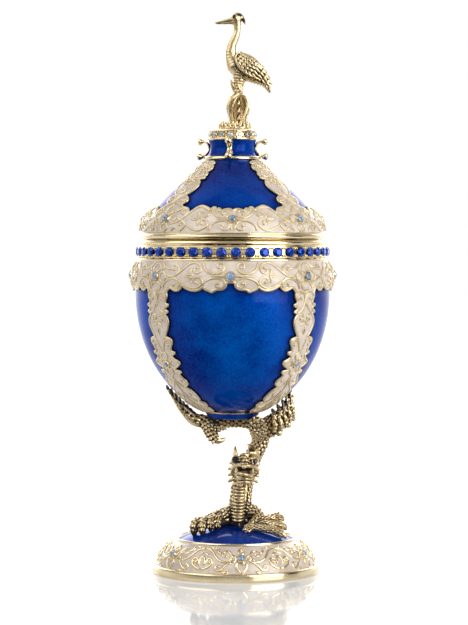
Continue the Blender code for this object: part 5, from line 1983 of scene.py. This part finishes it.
def make_dragon():
    body = Stock()
    limb(body, TRUNK)
    coat(body, TRUNK[:4], 1.3, BODY_SCALE, flip=-1, bare=FRONT_SMOOTH)
    coat(body, TRUNK[3:], 1.3, BODY_SCALE, lift=0.55, flip=-1, sink=0.05)
    limb(body, TAIL, depth=0.85)
    coat(body, TAIL, 1.9, (3.0, 1.7, 0.8), lift=0.3, bare=UNDER_SMOOTH)
    limb(body, CHEST, up=(1.0, 0.0, 0.0))
    chest_plates(body)
    limb(body, HIP)
    coat(body, HIP, 1.3, (2.0, 1.3, 0.9), lift=0.55, sink=0.05)
    limb(body, HAUNCH)
    coat(body, HAUNCH[:4], 1.35, (2.1, 1.4, 0.95), lift=0.6, sink=0.0)
    for lock in LOCKS:
        for strand in (lock, mirror_y(lock, LOCK_MIDDLE_Y)):
            limb(body, strand, sides=10)
            coat(body, strand, 1.1, (1.5, 0.7, 0.45), crowd=1.1)
    for place, radius in LOCK_ROOTS:
        pellet(body, place, radius)
    for claw in (HIND_CLAW, HIND_THUMB, HIND_SPUR):
        limb(body, claw, sides=10)
    coat(body, HIND_CLAW[:4], 1.15, (1.7, 1.15, 0.8), lift=0.6, sink=0.0)
    coat(body, HIND_THUMB[:3], 1.1, (1.4, 1.0, 0.7), lift=0.6, sink=0.0)
    limb(body, LEFT_WEB)
    for leg in (LEFT_FORELEG, RIGHT_FORELEG):
        limb(body, leg)
        coat(body, leg, 1.15, (1.6, 1.25, 0.9), lift=0.45)
    for toe in LEFT_CLAWS + RIGHT_TOES:
        limb(body, toe, sides=10)
        coat(body, toe[:4], 1.2, (2.0, 0.75, 0.55), lift=0.35, sink=0.0, crowd=1.1)
    for horn in HORNS:
        limb(body, horn, sides=10)
    for place, radius, stretch in SKULL:
        pellet(body, place, radius, stretch)
    limb(body, MUZZLE, depth=0.7, up=UPWARDS)
    limb(body, JAW, depth=0.42, up=UPWARDS)
    for roll in ROLLS:
        limb(body, roll, sides=8)
    for place, radius in KNOBS:
        pellet(body, place, radius)
    for spike in SPIKES:
        limb(body, spike, sides=8)
    eyes = Stock()
    for place, facing, radius in EYES:
        facing = unit(np.array(facing))
        hoop(body, np.asarray(place) - 0.2 * facing, facing, radius + 0.22, 0.36, steps=16)
        pellet(body, np.asarray(place) - 1.1 * facing, 1.1)
        set_stone(eyes, np.asarray(place) + 0.1 * facing, facing, radius)
    mesh = fused("dragon_gold", body, DRAGON_VOXEL, clear_of_body, DRAGON_WAX_AND_SHADE_POOLS, rounds=1, more_wax=chest_wax)
    cast_figure("dragon_gold", mesh, "dragon_stem")
    make_piece("dragon_eyes", eyes, stone_finish["dark_stone"], smooth_angle=0.0)


make_dragon()

# %% [markdown]
# ## The crane
#
# A crane stands on the lid with its wings folded, over a cage of four ribbed leaves round a
# twisted stem, in a tuft of grass. The long neck is smooth, the wings carry rows of short pitted
# feathers at the shoulder and long ones towards the tail. The cage is open, so light shows
# through between the leaves.

# %% Crane stations
NECK = [
    (1.5, 0, 186.5, 1.45), (1.6, 0, 184.8, 1.25), (1.5, 0, 182.9, 1.2), (0.8, 0, 180.9, 1.35),
    (-0.2, 0, 178.7, 1.55), (-0.5, 0, 176.6, 1.8), (-0.3, 0, 174.4, 2.1), (0.8, 0, 172.1, 2.9),
    (3, 0, 170.5, 3.3), (6, 0, 169.5, 3), (8.8, 0, 167.8, 2.2), (10.9, 0, 166, 1.3),
    (12.7, 0, 162.6, 0.4),
]
UPPER_BEAK = [(0.6, 0, 187.4, 1), (-0.8, 0, 187.2, 0.75), (-3, 0, 186.75, 0.5), (-6, 0, 186.15, 0.2)]
LOWER_BEAK = [
    (0.6, 0, 186.3, 0.9), (-0.8, 0, 186.25, 0.55), (-3, 0, 186.05, 0.4), (-5.6, 0, 185.85, 0.15),
]
CREST = [
    (0.6, 0, 189, 0.4), (1.9, 0, 189.1, 0.65), (3, 0, 188.2, 0.7), (3.8, 0, 186.9, 0.55),
    (4.4, 0, 185.6, 0.2),
]
WING = [
    (2.2, 1.8, 175.2, 1.3), (3.3, 2.7, 173.6, 2.5), (5.2, 3, 171.8, 3), (7.4, 2.7, 170.1, 2.6),
    (9.6, 2, 168.2, 1.8), (11.3, 1.2, 166.2, 1.1), (12.8, 0.6, 162.8, 0.3),
]
WING_EDGE = [
    (2.4, 2.2, 176.2, 0.3), (1, 2.9, 174.6, 0.4), (1.6, 3.4, 172.2, 0.45), (3.4, 3.7, 169.9, 0.45),
    (5.8, 3.5, 168.3, 0.4), (8.4, 2.8, 167.2, 0.35), (10.4, 1.9, 166.4, 0.25),
]
CROSSING = [  # rolled edges of the front leaves
    [(2.2, -1.2, 162.5, 0.4), (0.4, -2.3, 161, 0.42), (-0.9, -2.2, 158.6, 0.42), (-1, -1.8, 155.8, 0.4),
     (-0.4, -1.4, 152.8, 0.4)],
    [(2.3, -1.5, 161.8, 0.35), (1, -2.6, 160.2, 0.38), (0.1, -2.8, 158, 0.38), (-0.2, -2.4, 155.4, 0.35),
     (0.2, -1.8, 152.6, 0.35)],
    [(2.5, -1.3, 162.4, 0.4), (4.4, -1.9, 160.8, 0.42), (5.2, -2, 158.8, 0.42), (4.6, -2.3, 156.2, 0.42),
     (3.6, -2.4, 153.6, 0.42), (2.9, -2.2, 151.2, 0.4)],
    [(5.4, -0.8, 158.4, 0.4), (5.1, -1.2, 155.6, 0.4), (4.4, -1.3, 152.8, 0.4), (4.1, -1.2, 151.2, 0.4)],
]
THIGH = [
    (3.8, 0, 172.4, 2.9), (3.1, 0, 170.6, 2.8), (2.5, 0, 168.8, 2.25), (2.35, 0, 167, 1.75),
    (2, 0, 165.3, 1.55), (1.9, 0, 163.5, 1.45), (2, 0, 162.3, 1.3),
]
BUD = [
    (0.8, -0.3, 163.3, 0.75), (0.1, -0.5, 165, 0.75), (-0.4, -0.6, 166.2, 0.45),
    (-0.7, -0.7, 167.1, 0.12),
]
CAGE_X = 1.9
LEAF_LINE = [  # reach, height, half width
    (0.77, 163, 0.5), (1.72, 161.9, 0.86), (2.75, 160.2, 1.22), (3.27, 158.2, 1.33), (3.18, 156.1, 1.15),
    (2.67, 153.9, 0.86), (2.24, 151.6, 0.65),
]
LEAF_TURNS = [-78, 74, 148, -152]  # degrees from the front, positive to the right
LEAF_DEPTH = 0.28
RIB_OFFSETS = (-0.62, 0.0, 0.62)  # as shares of the leaf's half width
RIB_RADIUS = 0.25
STEM_BOTTOM_Z = 151.0
STEM_TOP_Z = 162.9
STEM_TWIST = 5.0  # millimetres of stem to a full twist
STRAND_REACH, STRAND_RADIUS = 0.45, 0.55
CRANE_NEUTRAL = 0.17  # the crane is rubbed brighter than the dragon
CRANE_VOXEL = 0.155
BLADES = 38
BLADE_BASE_Z = 150.55
GRASS_X = 0.8
GRASS_REACHES = (5.1, 4.1)  # outer and inner ring
MOUND = [(GRASS_X, 0, BLADE_BASE_Z - 0.25, 5.4), (GRASS_X, 0, 151.1, 5.2), (GRASS_X, 0, 151.6, 3.2)]
WING_DEPTH = 0.36  # the thickness of a wing against its width
BODY_DEPTH = 0.82
HEAD = ((1.4, 0.0, 187.5), 1.75, (1.05, 0.85, 1.0))
EYE_PLACE, EYE_FACING, EYE_RADIUS = (0.6, 1.4, 188.2), (-0.15, 1.0, 0.1), 0.6
TUFT = [(0.9, -1, 164.3), (2, -1.4, 164.5), (3.1, -1, 164.3), (1.4, -1.3, 163.1), (2.8, -1.2, 163.2)]
CRANE_WAX_AND_SHADE_POOLS = [  # centre, reach, strength, where a strength below 0 is rubbed bright; the pool inside the cage is painted shade
    ((2.7, 0, 188.9), (2, 1.4, 1), 1), ((3.8, 0, 187), (1.1, 1.2, 2.2), 1),
    ((0.8, 0, 187.9), (0.9, 2.4, 0.8), 0.3), ((2.9, 0, 156), (2.4, 2.1, 6.5), 0.45),
    ((-3.2, 0, 186.6), (5.5, 2, 1.8), -0.3), ((6.5, 3.4, 171), (11, 3, 8.5), 0.17),
    ((6.5, -3.4, 171), (11, 3, 8.5), 0.17),
]


# %% Crane
def crane_wing(stock, wing, edge):
    """A flat wing with a rolled edge, short feathers at the shoulder and long ones behind."""
    limb(stock, wing, depth=WING_DEPTH)
    limb(stock, edge, sides=8)
    coat(stock, wing[:4], 1.25, (1.9, 1.3, 0.6), lift=0.3, depth=WING_DEPTH, crowd=0.92, sink=0.0)
    coat(stock, wing[3:6], 1.7, (4.4, 1.2, 0.6), lift=0.16, depth=WING_DEPTH, crowd=0.95, sink=0.0)


def cage_leaf(stock, turn):
    """A ribbed leaf that bellies out from the stem."""
    out, side = outward(turn), outward(turn + math.pi / 2)
    middles = [(np.array([CAGE_X, 0.0, z]) + reach * out, half) for reach, z, half in LEAF_LINE]
    limb(stock, [(*middle, half) for middle, half in middles], depth=LEAF_DEPTH, up=out, sides=14)
    for share in RIB_OFFSETS:
        belly = 0.42 * (1 - 0.6 * abs(share))
        rib = [(*(middle + half * (belly * out + share * side)), RIB_RADIUS) for middle, half in middles]
        limb(stock, rib, up=out, sides=6)


def twisted_stem(stock):
    """Two strands wound round each other."""
    heights = np.linspace(STEM_BOTTOM_Z, STEM_TOP_Z, 24)
    for start in (0.0, math.pi):
        turns = start + 2 * math.pi * heights / STEM_TWIST
        line = np.stack([
            CAGE_X + STRAND_REACH * np.cos(turns), STRAND_REACH * np.sin(turns), heights,
            np.full(len(heights), STRAND_RADIUS),
        ], axis=1)
        limb(stock, line, steps=1, sides=8)


def grass(stock):
    """Straight blades in two rings. Their heights vary a little, in a fixed order."""
    for number in range(BLADES):
        out = outward(2 * math.pi * number / BLADES)
        inner = number % 2
        height = 1.7 + 0.3 * math.sin(2.4 * number) + 0.6 * inner
        foot = np.array([GRASS_X, 0.0, BLADE_BASE_Z]) + GRASS_REACHES[inner] * out
        top = foot + (0.0, 0.0, height) + 0.1 * out
        limb(stock, [(*foot, 0.42), (*((foot + top) / 2), 0.46), (*top, 0.32)], up=out, sides=8)


def make_crane():
    body = Stock()
    limb(body, NECK, depth=BODY_DEPTH, sides=16)
    coat(body, NECK[4:8], 1.0, (1.5, 0.8, 0.35), lift=0.2, depth=BODY_DEPTH, crowd=0.85, sink=0.12)
    coat(body, NECK[8:12], 1.2, (2.2, 0.9, 0.45), lift=0.3, depth=BODY_DEPTH, crowd=0.85)
    pellet(body, *HEAD)
    for part in (UPPER_BEAK, LOWER_BEAK, CREST):
        limb(body, part, sides=10)
    crane_wing(body, mirror_y(WING), mirror_y(WING_EDGE))
    crane_wing(body, WING, WING_EDGE)
    limb(body, THIGH)
    coat(body, THIGH[:6], 0.95, (1.7, 0.95, 0.45), lift=0.3, crowd=0.85, sink=0.05)
    for x, y, z in TUFT:
        for side in (1.0, -1.0):
            pellet(body, (x, side * y, z), 0.55, (0.8, 0.8, 1.4))
    limb(body, BUD, sides=10)
    for turn in LEAF_TURNS:
        cage_leaf(body, math.radians(turn))
    for roll in CROSSING:
        limb(body, roll, sides=8)
        limb(body, mirror_y(roll), sides=8)
    twisted_stem(body)
    grass(body)
    limb(body, MOUND, sides=24, steps=3)
    eyes = Stock()
    for mirrored in (np.array([1.0, -1.0, 1.0]), np.ones(3)):
        facing, place = unit(mirrored * EYE_FACING), mirrored * EYE_PLACE
        hoop(body, place - 0.1 * facing, facing, EYE_RADIUS + 0.08, 0.18, steps=16)
        set_stone(eyes, place, facing, EYE_RADIUS)
    wax_and_shade_pools = list(CRANE_WAX_AND_SHADE_POOLS)
    for x, y, z, _ in smooth_path(WING_EDGE, 4):  # painted shade: a dark line under each wing's edge
        wax_and_shade_pools += [((x - 0.45, side * y, z - 0.35), (0.75, 1.0, 0.75), 0.35) for side in (-1.0, 1.0)]
    mesh = fused("crane_gold", body, CRANE_VOXEL, lambda points: points, wax_and_shade_pools, neutral=CRANE_NEUTRAL)
    cast_figure("crane_gold", mesh, "crane_finial")
    make_piece("crane_eyes", eyes, stone_finish["dark_stone"], smooth_angle=0.0)


make_crane()
